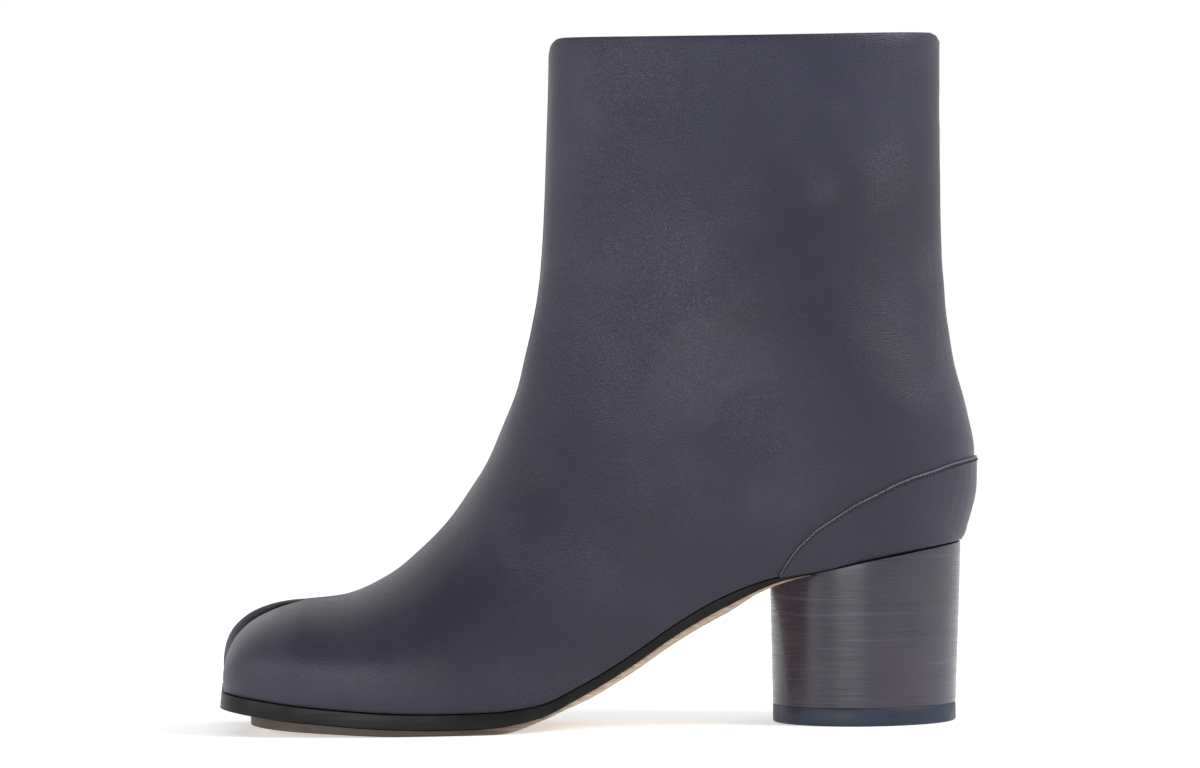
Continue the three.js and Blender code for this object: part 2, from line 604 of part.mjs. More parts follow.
// The counter follows the heel on both sides, between the feather line and its top edge
const counterEdge = COUNTER_EDGE.map((p) => new THREE.Vector2(-p.at * LENGTH, p.up * BOOT_HEIGHT));
const counterSide = new THREE.Shape([
  ...counterEdge,
  new THREE.Vector2(counterEdge.at(-1).x, -BOOT_HEIGHT),
  new THREE.Vector2(counterEdge[0].x, -BOOT_HEIGHT),
]);
const counterRegion = solidFrom(
  new THREE.ExtrudeGeometry(counterSide, { depth: 2 * BALL_WIDTH, bevelEnabled: false })
    .rotateX(Math.PI / 2)
    .translate(0, BALL_WIDTH, 0),
).intersect(slab(soleStations, levelAcross, featherZ, () => HIGH));
const counter = bootForm(FIT_GAP + COUNTER_THICKNESS).subtract(bootForm(FIT_GAP, 8, 8)).intersect(counterRegion);

// Materials, in the colours of worn-in calf, edge ink, natural sole leather and stacked heel
const slateCalf = new THREE.MeshStandardMaterial({ color: 0x4a4957, roughness: 0.5, metalness: 0 });
const blackEdge = new THREE.MeshStandardMaterial({ color: 0x1d1b1b, roughness: 0.4, metalness: 0 });
const soleLeather = new THREE.MeshStandardMaterial({ color: 0xc9b09a, roughness: 0.6, metalness: 0 });
const insoleLeather = new THREE.MeshStandardMaterial({ color: 0xd6c5ae, roughness: 0.7, metalness: 0 });
const stackedHeel = new THREE.MeshStandardMaterial({ color: 0x514d54, roughness: 0.45, metalness: 0 });
const navyRubber = new THREE.MeshStandardMaterial({ color: 0x27374f, roughness: 0.6, metalness: 0 });

function meshOf(name, solid, material) {
  const { numProp, vertProperties, triVerts } = solid.getMesh();
  const positions = [];
  for (let i = 0; i < vertProperties.length; i += numProp) {
    positions.push(...vertProperties.subarray(i, i + 3));
  }
  const geometry = new THREE.BufferGeometry();
  geometry.setAttribute("position", new THREE.Float32BufferAttribute(positions, 3));
  geometry.setIndex(Array.from(triVerts));
  geometry.computeVertexNormals();
  const mesh = new THREE.Mesh(geometry, material);
  mesh.name = name;
  return mesh;
}

const boot = new THREE.Group();
boot.add(
  meshOf("upper", upper, slateCalf),
  meshOf("heel_counter", counter, slateCalf),
  meshOf("insole", insole, insoleLeather),
  meshOf("midsole", midsole, blackEdge),
  meshOf("outsole", outsole, soleLeather),
  meshOf("heel_block", heelBlock, stackedHeel),
  meshOf("top_lift", topLift, navyRubber),
);

export default boot;
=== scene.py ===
"""Split-toe ankle boot on a round stacked heel, left shoe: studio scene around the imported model.

Metres, +Z up, toe towards -X, outer side towards -Y. The shape functions below work in millimetres
and follow the part's own sections, so each dressed piece lies in the solid that it stands for.
"""

import math

import bmesh
import bpy
import numpy as np
from mathutils import Matrix, Vector
from mathutils.bvhtree import BVHTree
from mathutils.geometry import delaunay_2d_cdt


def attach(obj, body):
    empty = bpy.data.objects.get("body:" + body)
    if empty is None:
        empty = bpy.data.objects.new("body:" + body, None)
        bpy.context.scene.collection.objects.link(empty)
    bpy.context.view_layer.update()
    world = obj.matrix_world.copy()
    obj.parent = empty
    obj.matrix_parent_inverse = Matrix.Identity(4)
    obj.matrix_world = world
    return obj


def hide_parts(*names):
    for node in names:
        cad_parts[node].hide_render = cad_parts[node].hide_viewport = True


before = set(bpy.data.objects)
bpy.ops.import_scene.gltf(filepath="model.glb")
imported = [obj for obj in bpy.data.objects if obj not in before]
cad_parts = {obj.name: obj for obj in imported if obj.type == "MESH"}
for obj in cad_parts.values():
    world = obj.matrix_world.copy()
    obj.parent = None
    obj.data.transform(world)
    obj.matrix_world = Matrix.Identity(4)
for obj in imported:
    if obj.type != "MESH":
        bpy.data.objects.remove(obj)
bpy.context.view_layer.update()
MM = 0.001

# Main sizes, as in the part
LENGTH = 243.4
BALL_WIDTH = 83.0
BOOT_HEIGHT = 219.0
SEAT_HEIGHT = 58.0
SEAT_BACK = 30.8
SEAT_HALF_WIDTH = 28.6
SHAFT_HALF_WIDTH = 30.0
COLLAR_DIP = 1.5
COLLAR_CORNER = 3.5
TOE_SPRING = 6.7
TOE_BOX_HEIGHT = 32.1
OUTER_TOE = {"wall": 8.0, "round": 40.0}
BIG_TOE = {"wall": 9.5, "round": 36.0}
TOE_BULGE = 0.4
OUTER_TOE_SETBACK = 3.0
WALL = 1.8
FIT_GAP = 0.3
INSOLE_THICKNESS = 2.5
CLEFT_LENGTH = 43.0
CLEFT_SLOT = 28.0
CLEFT_GAP = 1.8
CLEFT_SIDE = 10.5
CLEFT_SHOULDER_WIDTH = 9.5
CLEFT_SHOULDER_DEPTH = 11.0
LOBE_ROUND = 10.0
MIDSOLE_THICKNESS = 4.6
MIDSOLE_TOE_THICKNESS = 5.1
MIDSOLE_WAIST_THICKNESS = 3.2
MIDSOLE_SEAT_THICKNESS = 0.6
MIDSOLE_LEDGE = 0.9
OUTSOLE_THICKNESS = 1.8
OUTSOLE_INSET = 1.7
OUTSOLE_SLOT_INSET = 1.0
OUTSOLE_TOE_INSET = 8.0
OUTSOLE_EDGE_THICKNESS = 1.0
OUTSOLE_WAIST_BELLY = 2.6
OUTSOLE_REAR_THICKNESS = 0.5
OUTSOLE_TOE_LIFT = 2.8
OUTSOLE_TONGUE = 12.0
HEEL_FOOT_RADIUS = 29.2
HEEL_TOP_RADIUS = 30.6
HEEL_FOOT_X = -0.5
HEEL_TOP_X = 0.6
LIFT_THICKNESS = 5.8
SOLE_STACK = MIDSOLE_THICKNESS + OUTSOLE_THICKNESS + 2 * FIT_GAP
TOE_TIP = 0.8505
TOE_ROWS = 9
BACK_ROUND = 2.1

# Feather line: share of LENGTH towards the toe, outer and inner shares of BALL_WIDTH, rise share
FEATHER = np.array([
    (0.86, 0.4, 0.42, 0),
    (0.78, 0.43, 0.448, 0),
    (0.74, 0.462, 0.465, 0),
    (0.68, 0.5, 0.478, 0),
    (0.62, 0.523, 0.477, 0),
    (0.555, 0.52, 0.452, 0),
    (0.49, 0.497, 0.393, 0.002),
    (0.43, 0.458, 0.318, 0.034),
    (0.37, 0.413, 0.262, 0.16),
    (0.31, 0.378, 0.238, 0.325),
    (0.245, 0.355, 0.245, 0.53),
    (0.185, 0.345, 0.27, 0.685),
    (0.125, 0.344, 0.302, 0.785),
    (0.06, 0.348, 0.332, 0.838),
    (0, 0.3446, 0.3446, 0.898),
    (-0.136, 0.3446, 0.3446, 1.008),
])
AT, OUTER, INNER, RISE = range(4)

# Slices through the foot: from, to, toZ, outer, inner, belly, round
SEAT_SHARE = -SEAT_BACK / LENGTH
FOOT = [
    (0.7355, 0.7355, 0.1883, 0.483, 0.484, 0.3, 2.35),
    (0.68, 0.683, 0.1942, 0.518, 0.497, 0.28, 2.25),
    (0.62, 0.628, 0.22, 0.542, 0.497, 0.25, 2.1),
    (0.555, 0.584, 0.2571, 0.541, 0.475, 0.23, 1.98),
    (0.49, 0.5465, 0.2978, 0.522, 0.43, 0.22, 1.94),
    (0.425, 0.5155, 0.3448, 0.492, 0.388, 0.23, 1.94),
    (0.355, 0.489, 0.3929, 0.462, 0.368, 0.25, 1.96),
    (0.28, 0.4685, 0.4404, 0.438, 0.37, 0.27, 1.98),
    (0.2, 0.4535, 0.4835, 0.42, 0.385, 0.29, 2.0),
    (0.12, 0.4435, 0.5222, 0.408, 0.394, 0.3, 2.02),
    (0.035, 0.4355, 0.5569, 0.404, 0.402, 0.31, 2.05),
    (-0.045, 0.4295, 0.5891, 0.403, 0.403, 0.32, 2.06),
    (-0.087, 0.4245, 0.6173, 0.404, 0.404, 0.33, 2.08),
    (-0.113, 0.4215, 0.6396, 0.405, 0.405, 0.34, 2.1),
    (SEAT_SHARE, 0.42, 0.651, 0.406, 0.406, 0.345, 2.1),
]

# Slices through the leg: from, fromZ, to, toZ, half, belly, round
LEG = [
    (-0.1355, 0.2903, 0.4185, 0.6678, 1.127, 0.35, 2.1),
    (-0.1465, 0.3418, 0.4167, 0.6901, 1.13, 0.36, 2.12),
    (-0.1475, 0.3914, 0.4148, 0.7149, 1.128, 0.38, 2.14),
    (-0.1378, 0.4538, 0.413, 0.7441, 1.112, 0.41, 2.16),
    (-0.1215, 0.5291, 0.411, 0.7788, 1.085, 0.44, 2.2),
    (-0.1123, 0.6213, 0.409, 0.8214, 1.054, 0.47, 2.24),
    (-0.1085, 0.7313, 0.4068, 0.8739, 1.027, 0.49, 2.28),
    (-0.1082, 0.8581, 0.4047, 0.9314, 1.008, 0.5, 2.32),
    (-0.1105, 1, 0.4035, 1, 1, 0.5, 2.36),
]

# Top edge of the counter: share of LENGTH towards the toe, share of BOOT_HEIGHT
COUNTER_EDGE = np.array([
    (0.119, 0.2105),
    (0.1159, 0.218),
    (0.1073, 0.2373),
    (0.0925, 0.2592),
    (0.0677, 0.2848),
    (0.0429, 0.3022),
    (0.018, 0.3195),
    (-0.0069, 0.3326),
    (-0.032, 0.3466),
    (-0.0574, 0.3575),
    (-0.083, 0.3655),
    (-0.1095, 0.3752),
    (-0.16, 0.388),
])


def mix(a, b, t):
    return a + (b - a) * t


def clamp01(t):
    return np.clip(t, 0, 1)


def ease(t):
    t = clamp01(t)
    return t * t * (3 - 2 * t)


def bow(t, power):
    """Rises steeply from 0 and levels out at 1, like a quarter of a rounded square."""
    return (1 - (1 - clamp01(t)) ** power) ** (1 / power)


def gentle(a, b):
    """Slope between two slopes that never overshoots: none where they turn round."""
    return 0 if a * b <= 0 else 2 * a * b / (a + b)


def along(keys, values, where):
    """Smooth value of one column of a table, with the same slopes as the part's own."""
    sign = 1 if keys[1] > keys[0] else -1
    keys, where = np.asarray(keys) * sign, where * sign
    i = int(np.clip(np.searchsorted(keys, where, side="left") - 1, 0, len(keys) - 2))
    slopes = np.diff(values) / np.diff(keys)
    here = slopes[i]
    before = slopes[i - 1] if i > 0 else here
    after = slopes[i + 1] if i < len(slopes) - 1 else here
    step = keys[i + 1] - keys[i]
    t = float(clamp01((where - keys[i]) / step))
    h = (2 * t**3 - 3 * t**2 + 1, t**3 - 2 * t**2 + t, -2 * t**3 + 3 * t**2, t**3 - t**2)
    ends = h[0] * values[i] + h[2] * values[i + 1]
    return ends + step * (h[1] * gentle(before, here) + h[3] * gentle(here, after))


def feather_z(x):
    """Height of the line where the upper meets the sole."""
    rise = along(FEATHER[:, AT], FEATHER[:, RISE], -x / LENGTH)
    to_tip = float(clamp01((-x / LENGTH - 0.56) / (TOE_TIP - 0.56)))
    return SOLE_STACK + rise * (SEAT_HEIGHT - SOLE_STACK) + TOE_SPRING * to_tip**1.7


def feather_y(x, side):
    """Distance of that line from the middle plane on one side."""
    if x > 0:
        return SEAT_HALF_WIDTH * math.sqrt(max(0, 1 - (x / SEAT_BACK) ** 2))
    column = FEATHER[:, OUTER if side < 0 else INNER]
    seat = along(FEATHER[:, AT], column, 0)
    share = along(FEATHER[:, AT], column, -x / LENGTH)
    return share * BALL_WIDTH + (SEAT_HALF_WIDTH - seat * BALL_WIDTH) * ease(1 + x / (0.25 * LENGTH))


def cleft_y(x):
    """How far the cleft between the toes lies to the inner side."""
    return CLEFT_SIDE * ease((-x / LENGTH - 0.3) / 0.36)


def tip_x(side):
    return -TOE_TIP * LENGTH + (OUTER_TOE_SETBACK if side < 0 else 0)


CROTCH_X = -TOE_TIP * LENGTH + CLEFT_SLOT
CLEFT_END_X = -TOE_TIP * LENGTH + CLEFT_LENGTH


def toe_crest(toe, back):
    """Height of a toe's top line over its edge, this far back from its tip."""
    return toe["wall"] + (TOE_BOX_HEIGHT - toe["wall"]) * bow(back / toe["round"], 2.05)


def toe_slice(row, side):
    """One slice across a toe, from its tip (row 0) to the crotch (row TOE_ROWS)."""
    share = 1 - math.cos((row + 0.35) / (TOE_ROWS + 0.35) * math.pi / 2)
    x = mix(tip_x(side), CROTCH_X, share)
    back = x - tip_x(side)
    centre = cleft_y(x)
    edge = feather_y(x, side) - side * centre
    tip_across = (0.47 if side < 0 else 0.52) * (feather_y(CROTCH_X, side) - side * cleft_y(CROTCH_X))
    outer = mix(tip_across, edge, bow(back / (26 if side < 0 else 20), 2.2))
    inner = mix(tip_across, CLEFT_GAP / 2, bow(back / LOBE_ROUND, 2.1))
    toe = OUTER_TOE if side < 0 else BIG_TOE
    span = CROTCH_X - tip_x(side)
    lack = FOOT[0][2] * BOOT_HEIGHT - feather_z(CROTCH_X) - toe_crest(toe, span)
    crest = toe_crest(toe, back) + lack * (back / span) ** 3
    swell = FOOT[0][3 if side < 0 else 4] * BALL_WIDTH - feather_y(CROTCH_X, side)
    return {
        "from": (x, feather_z(x)),
        "to": (x, feather_z(x) + crest),
        "centre": centre,
        "inner": inner,
        "edge": outer,
        "widest": outer + swell * bow(back / LOBE_ROUND, 2),
        "belly": FOOT[0][5],
        "round": FOOT[0][6],
        "shoulder": (
            min(CLEFT_SHOULDER_WIDTH, 0.45 * (outer - inner)),
            CLEFT_SHOULDER_DEPTH * mix(0.5, 1, bow(back / LOBE_ROUND, 2)),
        ),
        "slot": True,
        "bulge": TOE_BULGE * (1 - bow(back / toe["round"], 2)),
        "collar": 0,
    }


def foot_row(cut):
    """One row of FOOT in millimetres: both ends, both half widths, belly and roundness."""
    ahead, top_ahead, top_z, outer, inner, belly, rounding = cut
    lower = (-ahead * LENGTH, feather_z(-ahead * LENGTH))
    upper = (-top_ahead * LENGTH, top_z * BOOT_HEIGHT)
    return (*lower, *upper, outer * BALL_WIDTH, inner * BALL_WIDTH, belly, rounding)


def leg_row(cut):
    """One row of LEG in millimetres, in the same order as a row of the foot."""
    ahead, z, top_ahead, top_z, half, belly, rounding = cut
    lower = (-ahead * LENGTH, z * BOOT_HEIGHT)
    upper = (-top_ahead * LENGTH, top_z * BOOT_HEIGHT)
    return (*lower, *upper, half * SHAFT_HALF_WIDTH, half * SHAFT_HALF_WIDTH, belly, rounding)


SEAT_END = len(FOOT) - 1
SLICES = np.array([foot_row(cut) for cut in FOOT] + [leg_row(cut) for cut in LEG])
LAST_PLACE = len(SLICES) - 1


def body_slice(place, side):
    """One slice behind the crotch at a place between the rows of SLICES."""
    row = [along(np.arange(len(SLICES)), SLICES[:, c], place) for c in range(8)]
    from_x, from_z, to_x, to_z, outer, inner, belly, rounding = row
    on_sole = place < SEAT_END
    if on_sole:
        from_z = feather_z(from_x)
    centre = cleft_y(mix(from_x, to_x, 0.6))
    faded = 1 - ease((to_x - CROTCH_X) / (CLEFT_END_X - CROTCH_X))
    return {
        "from": (from_x, from_z),
        "to": (to_x, to_z),
        "centre": centre,
        "inner": 0,
        "edge": feather_y(from_x, side) - side * centre if on_sole else 0,
        "widest": (outer if side < 0 else inner) - side * centre,
        "belly": belly,
        "round": rounding,
        "shoulder": (CLEFT_SHOULDER_WIDTH, CLEFT_SHOULDER_DEPTH * faded),
        "slot": False,
        "bulge": 0,
        "collar": float(clamp01(place - (LAST_PLACE - 1))),
    }


def collar_sink(to_seam, across_share):
    """How far the collar's edge sinks: a dip at the sides, and rounded corners at front and back."""
    corner = 1 - min(1, abs(to_seam) / COLLAR_CORNER)
    return COLLAR_DIP * across_share**2 + COLLAR_CORNER * (1 - math.sqrt(1 - corner**2))


def slice_points(cut, side, steps):
    """Points of one slice on one side, from the bottom edge over the side to the cleft or seam."""
    lower, upper, shoulder_steps, slot = steps
    from_x, from_z = cut["from"]
    reach_x, reach_z = cut["to"][0] - from_x, cut["to"][1] - from_z
    belly, widest, edge, power, inner = (cut[k] for k in ("belly", "widest", "edge", "round", "inner"))

    def place(up, across):
        swell = cut["bulge"] * 4 * up * (1 - up)
        sunk = cut["collar"] * collar_sink(min(up, 1 - up) * reach_x, across / widest)
        x = from_x + reach_x * up - swell
        z = from_z + reach_z * up - sunk
        return (x, cut["centre"] + side * across, z)

    points = []
    first = math.acos(float(clamp01(edge / widest)) ** (BACK_ROUND / 2))
    drop = math.sin(first) ** (2 / BACK_ROUND)
    for i in range(lower):
        turn = (1 - i / lower) * first
        up = belly * (1 - math.sin(turn) ** (2 / BACK_ROUND) / drop)
        points.append(place(up, widest * math.cos(turn) ** (2 / BACK_ROUND)))
    width, depth = cut["shoulder"]
    shoulder = inner + width
    last = math.acos(float(clamp01(shoulder / widest)) ** (power / 2))
    for i in range(upper):
        turn = i / upper * last
        up = belly + (1 - belly) * math.sin(turn) ** (2 / power)
        points.append(place(up, widest * math.cos(turn) ** (2 / power)))
    height = math.hypot(reach_x, reach_z)
    for i in range(shoulder_steps + 1):
        turn = i / shoulder_steps * math.pi / 2
        across = inner + width * (1 - math.sin(turn))
        base = belly + (1 - belly) * (1 - (across / widest) ** power) ** (1 / power)
        points.append(place(base - depth * (1 - math.cos(turn)) / height, across))
    if slot:
        top, foot = np.array(points[-1]), np.array(place(0, inner))
        for i in range(1, slot + 1):
            t = i / slot if cut["slot"] else 0
            points.append(tuple(mix(top, foot, t)))
    return points


# Materials


class Nodes:
    """Makes and links the shader nodes of one tree."""

    def __init__(self, tree):
        self.tree = tree

    def node(self, kind, inputs=None, **settings):
        made = self.tree.nodes.new(kind)
        for key, value in settings.items():
            setattr(made, key, value)
        for key, value in (inputs or {}).items():
            self.put(made.inputs[key], value)
        return made

    def put(self, socket, value):
        if isinstance(value, bpy.types.NodeSocket):
            self.tree.links.new(value, socket)
        else:
            socket.default_value = value

    def math(self, operation, a, b):
        return self.node("ShaderNodeMath", {0: a, 1: b}, operation=operation).outputs[0]

    def spread(self, value, low, high, to_low=0.0, to_high=1.0, kind="SMOOTHSTEP"):
        """The value carried from low..high to to_low..to_high, and held at both ends."""
        spans = {"From Min": low, "From Max": high, "To Min": to_low, "To Max": to_high}
        inputs = {"Value": value, **spans}
        return self.node("ShaderNodeMapRange", inputs, interpolation_type=kind).outputs[0]


class Look(Nodes):
    """Builds one procedural material; places are the object's own, in metres."""

    def __init__(self, name):
        self.material = bpy.data.materials.new(name)
        self.material.use_nodes = True
        super().__init__(self.material.node_tree)
        self.shader = self.tree.nodes["Principled BSDF"]
        self.place = self.node("ShaderNodeTexCoord").outputs["Object"]

    def stretched(self, scale):
        inputs = {0: self.place, 1: scale}
        return self.node("ShaderNodeVectorMath", inputs, operation="MULTIPLY").outputs[0]

    def axis(self, name):
        return self.node("ShaderNodeSeparateXYZ", {0: self.place}).outputs[name]

    def painted_shade(self):
        return self.node("ShaderNodeAttribute", attribute_name="painted_shade").outputs["Fac"]

    def noise(self, scale, detail, stretch=None):
        place = self.stretched(stretch) if stretch else self.place
        inputs = {"Vector": place, "Scale": scale, "Detail": detail}
        return self.node("ShaderNodeTexNoise", inputs).outputs[0]

    def cells(self, scale):
        inputs = {"Vector": self.place, "Scale": scale}
        return self.node("ShaderNodeTexVoronoi", inputs).outputs["Distance"]

    def blend(self, share, a, b):
        made = self.node("ShaderNodeMix", {"Factor": share}, data_type="RGBA")
        self.put(made.inputs[6], a)
        self.put(made.inputs[7], b)
        return made.outputs[2]

    def two_tone(self, value, low, high, tones):
        """The first tone where the value is under low, the second where it is over high."""
        return self.blend(self.spread(value, low, high), *tones)

    def tinted(self, base, tint, value, low, high, at_low, at_high):
        """The base with a share of the tint that goes from at_low to at_high with the value."""
        return self.blend(self.spread(value, low, high, at_low, at_high), base, tint)

    def bump(self, height, distance, strength, over=None):
        inputs = {"Height": height, "Distance": distance, "Strength": strength}
        if over:
            inputs["Normal"] = over
        return self.node("ShaderNodeBump", inputs).outputs[0]

    def finish(self, base, roughness, normal, **values):
        self.put(self.shader.inputs["Base Color"], base)
        self.put(self.shader.inputs["Roughness"], roughness)
        self.put(self.shader.inputs["Normal"], normal)
        for key, value in values.items():
            self.put(self.shader.inputs[key.replace("_", " ")], value)
        return self.material


def colour(r, g, b):
    """Linear colour from 8-bit values."""
    parts = [c / 255 for c in (r, g, b)]
    return (*(p / 12.92 if p <= 0.04045 else ((p + 0.055) / 1.055) ** 2.4 for p in parts), 1)


# Colours of the materials; two tones mix in soft patches
SLATE_TONES = colour(29, 28, 44), colour(38, 37, 56)
SLATE_PATCH = colour(50, 48, 67)
# Painted glints: pale specks in the milled patches of the leather
SLATE_PAINTED_GLINT = colour(78, 76, 92)
SLATE_PORE = colour(14, 13, 24)
# Painted shade: near black, laid on the leather in the seam grooves and the cleft, and on the counter's
# cut edge where it meets the upper
PAINTED_SHADE_COLOUR = colour(8, 8, 11)
LINING_TONES = colour(92, 84, 78), colour(112, 103, 95)
LINING_PORE = colour(60, 54, 50)
# The counter's raw edge: paler than the face, partly its own tone and partly painted highlight
CUT_TONES = colour(58, 57, 68), colour(104, 102, 114)
INK_TONES = colour(7, 6, 7), colour(21, 18, 18)
# Painted contact shade: dark brown on the outsole's edge under the forefoot
PAINTED_SHADE_EDGE_TONES = colour(52, 41, 38), colour(80, 64, 56)
BARE_EDGE_TONES = colour(150, 130, 114), colour(190, 172, 154)
SOLE_TONES = colour(170, 144, 116), colour(190, 166, 140)
SOLE_SCUFF = colour(128, 98, 74)
SOLE_WORN = colour(104, 92, 82)
SOLE_PORE = colour(104, 78, 56)
STACK_TONES = colour(38, 34, 46), colour(50, 45, 59)
STACK_PALE = colour(78, 72, 90)
STACK_DARK = colour(26, 24, 30)
STACK_FIBRE = colour(78, 74, 84)
RUBBER_TONES = colour(11, 22, 43), colour(19, 33, 60)
THREAD_TONES = colour(5, 5, 8), colour(16, 16, 21)
INSOLE_TONES = colour(150, 118, 88), colour(172, 140, 108)
INSOLE_PORE = colour(104, 80, 58)
PAPER_TONES = (0.93, 0.93, 0.93, 1), (0.95, 0.95, 0.95, 1)


def leather():
    """Slate calf: pebbled grain in milled patches, soft shine with painted glints, and near-black
    painted shade without shine in seams and the cleft.
    """
    look = Look("slate_calf")
    grain = look.cells(2100)
    fine = look.noise(4200, 2)
    crease = look.noise(520, 4)
    patch = look.noise(26, 3)
    broad = look.noise(9, 2)
    # Painted shade from the mesh: it darkens the colour and takes the shine away
    painted_shade_mask = look.painted_shade()
    milled = look.spread(look.noise(20, 2), 0.5, 0.66)
    # Painted glints: pale specks in the milled patches
    painted_glints = look.math("MULTIPLY", look.spread(look.noise(1700, 2), 0.5, 0.7), milled)
    base = look.two_tone(broad, 0.3, 0.7, SLATE_TONES)
    base = look.tinted(base, SLATE_PATCH, patch, 0.45, 0.75, 0, 0.5)
    base = look.blend(look.math("MULTIPLY", painted_glints, 0.28), base, SLATE_PAINTED_GLINT)
    base = look.tinted(base, SLATE_PORE, grain, 0.05, 0.4, 0.4, 0)
    base = look.blend(painted_shade_mask, base, PAINTED_SHADE_COLOUR)
    rough = look.spread(patch, 0.3, 0.7, 0.5, 0.38)
    rough = look.math("ADD", rough, look.spread(fine, 0.3, 0.7, -0.06, 0.06))
    rough = look.math("ADD", rough, look.math("MULTIPLY", painted_shade_mask, 0.35))
    height = look.math("ADD", look.spread(grain, 0.1, 0.75), look.math("MULTIPLY", fine, 0.5))
    height = look.math("ADD", height, look.math("MULTIPLY", crease, 0.4))
    soft = look.bump(look.noise(90, 3), 0.0004, 0.3)
    normal = look.bump(height, 0.00018, look.spread(milled, 0, 1, 0.3, 0.75), soft)
    # No shine where the shade is painted, so those places stay near black
    gloss = look.spread(painted_shade_mask, 0, 1, 0.36, 0.04)
    return look.finish(base, rough, normal, Specular_IOR_Level=gloss, Sheen_Weight=0.06)


def lining():
    look = Look("lining_calf")
    grain = look.cells(1700)
    patch = look.noise(30, 3)
    base = look.two_tone(patch, 0.3, 0.7, LINING_TONES)
    base = look.tinted(base, LINING_PORE, grain, 0.05, 0.35, 0.3, 0)
    rough = look.spread(patch, 0.3, 0.7, 0.72, 0.6)
    return look.finish(base, rough, look.bump(grain, 0.00005, 0.8), Specular_IOR_Level=0.3)


def cut_edge():
    """Raw edge of the counter, paler than the face, partly its own tone and partly painted highlight,
    with loose fibres and painted shade where it meets the upper.
    """
    look = Look("cut_edge")
    fibre = look.noise(2400, 4)
    base = look.two_tone(fibre, 0.35, 0.65, CUT_TONES)
    # Painted shade on the edge's row that meets the upper
    base = look.blend(look.painted_shade(), base, PAINTED_SHADE_COLOUR)
    return look.finish(base, look.spread(fibre, 0.3, 0.7, 0.5, 0.7), look.bump(fibre, 0.00006, 0.8))


def edge_ink():
    """Black burnished sole edge: near gloss, with the faint lines of the edge iron."""
    look = Look("edge_ink")
    lines = look.noise(500, 3, (0.08, 0.08, 3.2))
    base = look.two_tone(look.noise(60, 3), 0.4, 0.75, INK_TONES)
    rough = look.spread(lines, 0.3, 0.7, 0.3, 0.46)
    return look.finish(base, rough, look.bump(lines, 0.00005, 0.7), Specular_IOR_Level=0.22)


def sole_edge():
    """Edge of the outsole, bare along the waist, and dark brown under the forefoot as painted contact
    shade.
    """
    look = Look("sole_edge")
    fibre = look.noise(700, 4, (0.15, 0.15, 2.2))
    behind_ball = look.spread(look.axis("X"), -0.128, -0.088)
    before_heel = look.spread(look.axis("X"), -0.034, -0.02, 1, 0.1)
    # Painted contact shade under the forefoot
    dark = look.two_tone(fibre, 0.35, 0.7, PAINTED_SHADE_EDGE_TONES)
    pale = look.two_tone(fibre, 0.35, 0.7, BARE_EDGE_TONES)
    base = look.blend(look.math("MULTIPLY", behind_ball, before_heel), dark, pale)
    return look.finish(base, look.spread(fibre, 0.3, 0.7, 0.5, 0.7), look.bump(fibre, 0.00008, 0.8))


def sole_leather():
    """Underside of the outsole: oak-bark leather with pores and a worn tread."""
    look = Look("sole_leather_face")
    pores = look.cells(900)
    scuff = look.noise(160, 4, (0.35, 1.6, 1))
    base = look.two_tone(look.noise(22, 4), 0.3, 0.7, SOLE_TONES)
    base = look.tinted(base, SOLE_SCUFF, scuff, 0.52, 0.72, 0, 0.5)
    base = look.tinted(base, SOLE_WORN, look.axis("X"), -0.09, -0.12, 0, 0.5)
    base = look.tinted(base, SOLE_PORE, pores, 0.04, 0.2, 0.5, 0)
    rough = look.spread(scuff, 0.3, 0.7, 0.42, 0.66)
    return look.finish(base, rough, look.bump(look.math("ADD", pores, scuff), 0.00008, 0.8))


def heel_leather():
    """Stacked heel, stained and waxed: fine level lines of its layers, some paler, some darker."""
    look = Look("stacked_heel")
    layers = look.noise(1000, 3, (0.012, 0.012, 0.45))
    fibre = look.noise(900, 3, (0.05, 0.05, 2.4))
    base = look.two_tone(look.noise(30, 3), 0.35, 0.7, STACK_TONES)
    base = look.tinted(base, STACK_PALE, layers, 0.58, 0.7, 0, 0.32)
    base = look.tinted(base, STACK_DARK, layers, 0.42, 0.32, 0, 0.35)
    base = look.tinted(base, STACK_FIBRE, fibre, 0.5, 0.75, 0, 0.22)
    rough = look.spread(fibre, 0.3, 0.7, 0.2, 0.32)
    return look.finish(base, rough, look.bump(look.math("ADD", fibre, layers), 0.000025, 0.8))


def rubber():
    look = Look("navy_rubber")
    stipple = look.cells(1300)
    dust = look.noise(120, 4)
    base = look.two_tone(dust, 0.4, 0.7, RUBBER_TONES)
    rough = look.spread(dust, 0.3, 0.7, 0.42, 0.6)
    return look.finish(base, rough, look.bump(look.math("ADD", stipple, dust), 0.00005, 0.7))


def thread():
    look = Look("waxed_thread")
    twist = look.noise(4200, 2)
    base = look.two_tone(twist, 0.35, 0.65, THREAD_TONES)
    return look.finish(base, look.spread(twist, 0.3, 0.7, 0.5, 0.7), look.bump(twist, 0.00005, 0.8))


def insole():
    look = Look("insole_calf")
    grain = look.cells(1500)
    patch = look.noise(24, 3)
    base = look.two_tone(patch, 0.3, 0.7, INSOLE_TONES)
    base = look.tinted(base, INSOLE_PORE, grain, 0.05, 0.3, 0.35, 0)
    return look.finish(base, look.spread(patch, 0.3, 0.7, 0.62, 0.5), look.bump(grain, 0.00006, 0.8))


LEATHER, LINING, CUT_EDGE = leather(), lining(), cut_edge()
EDGE_INK, SOLE_EDGE, SOLE_LEATHER = edge_ink(), sole_edge(), sole_leather()
HEEL_LEATHER, RUBBER, THREAD, INSOLE = heel_leather(), rubber(), thread(), insole()


# Meshes

SAME_POINT = 2e-6  # metres
NO_LENGTH = 1e-7


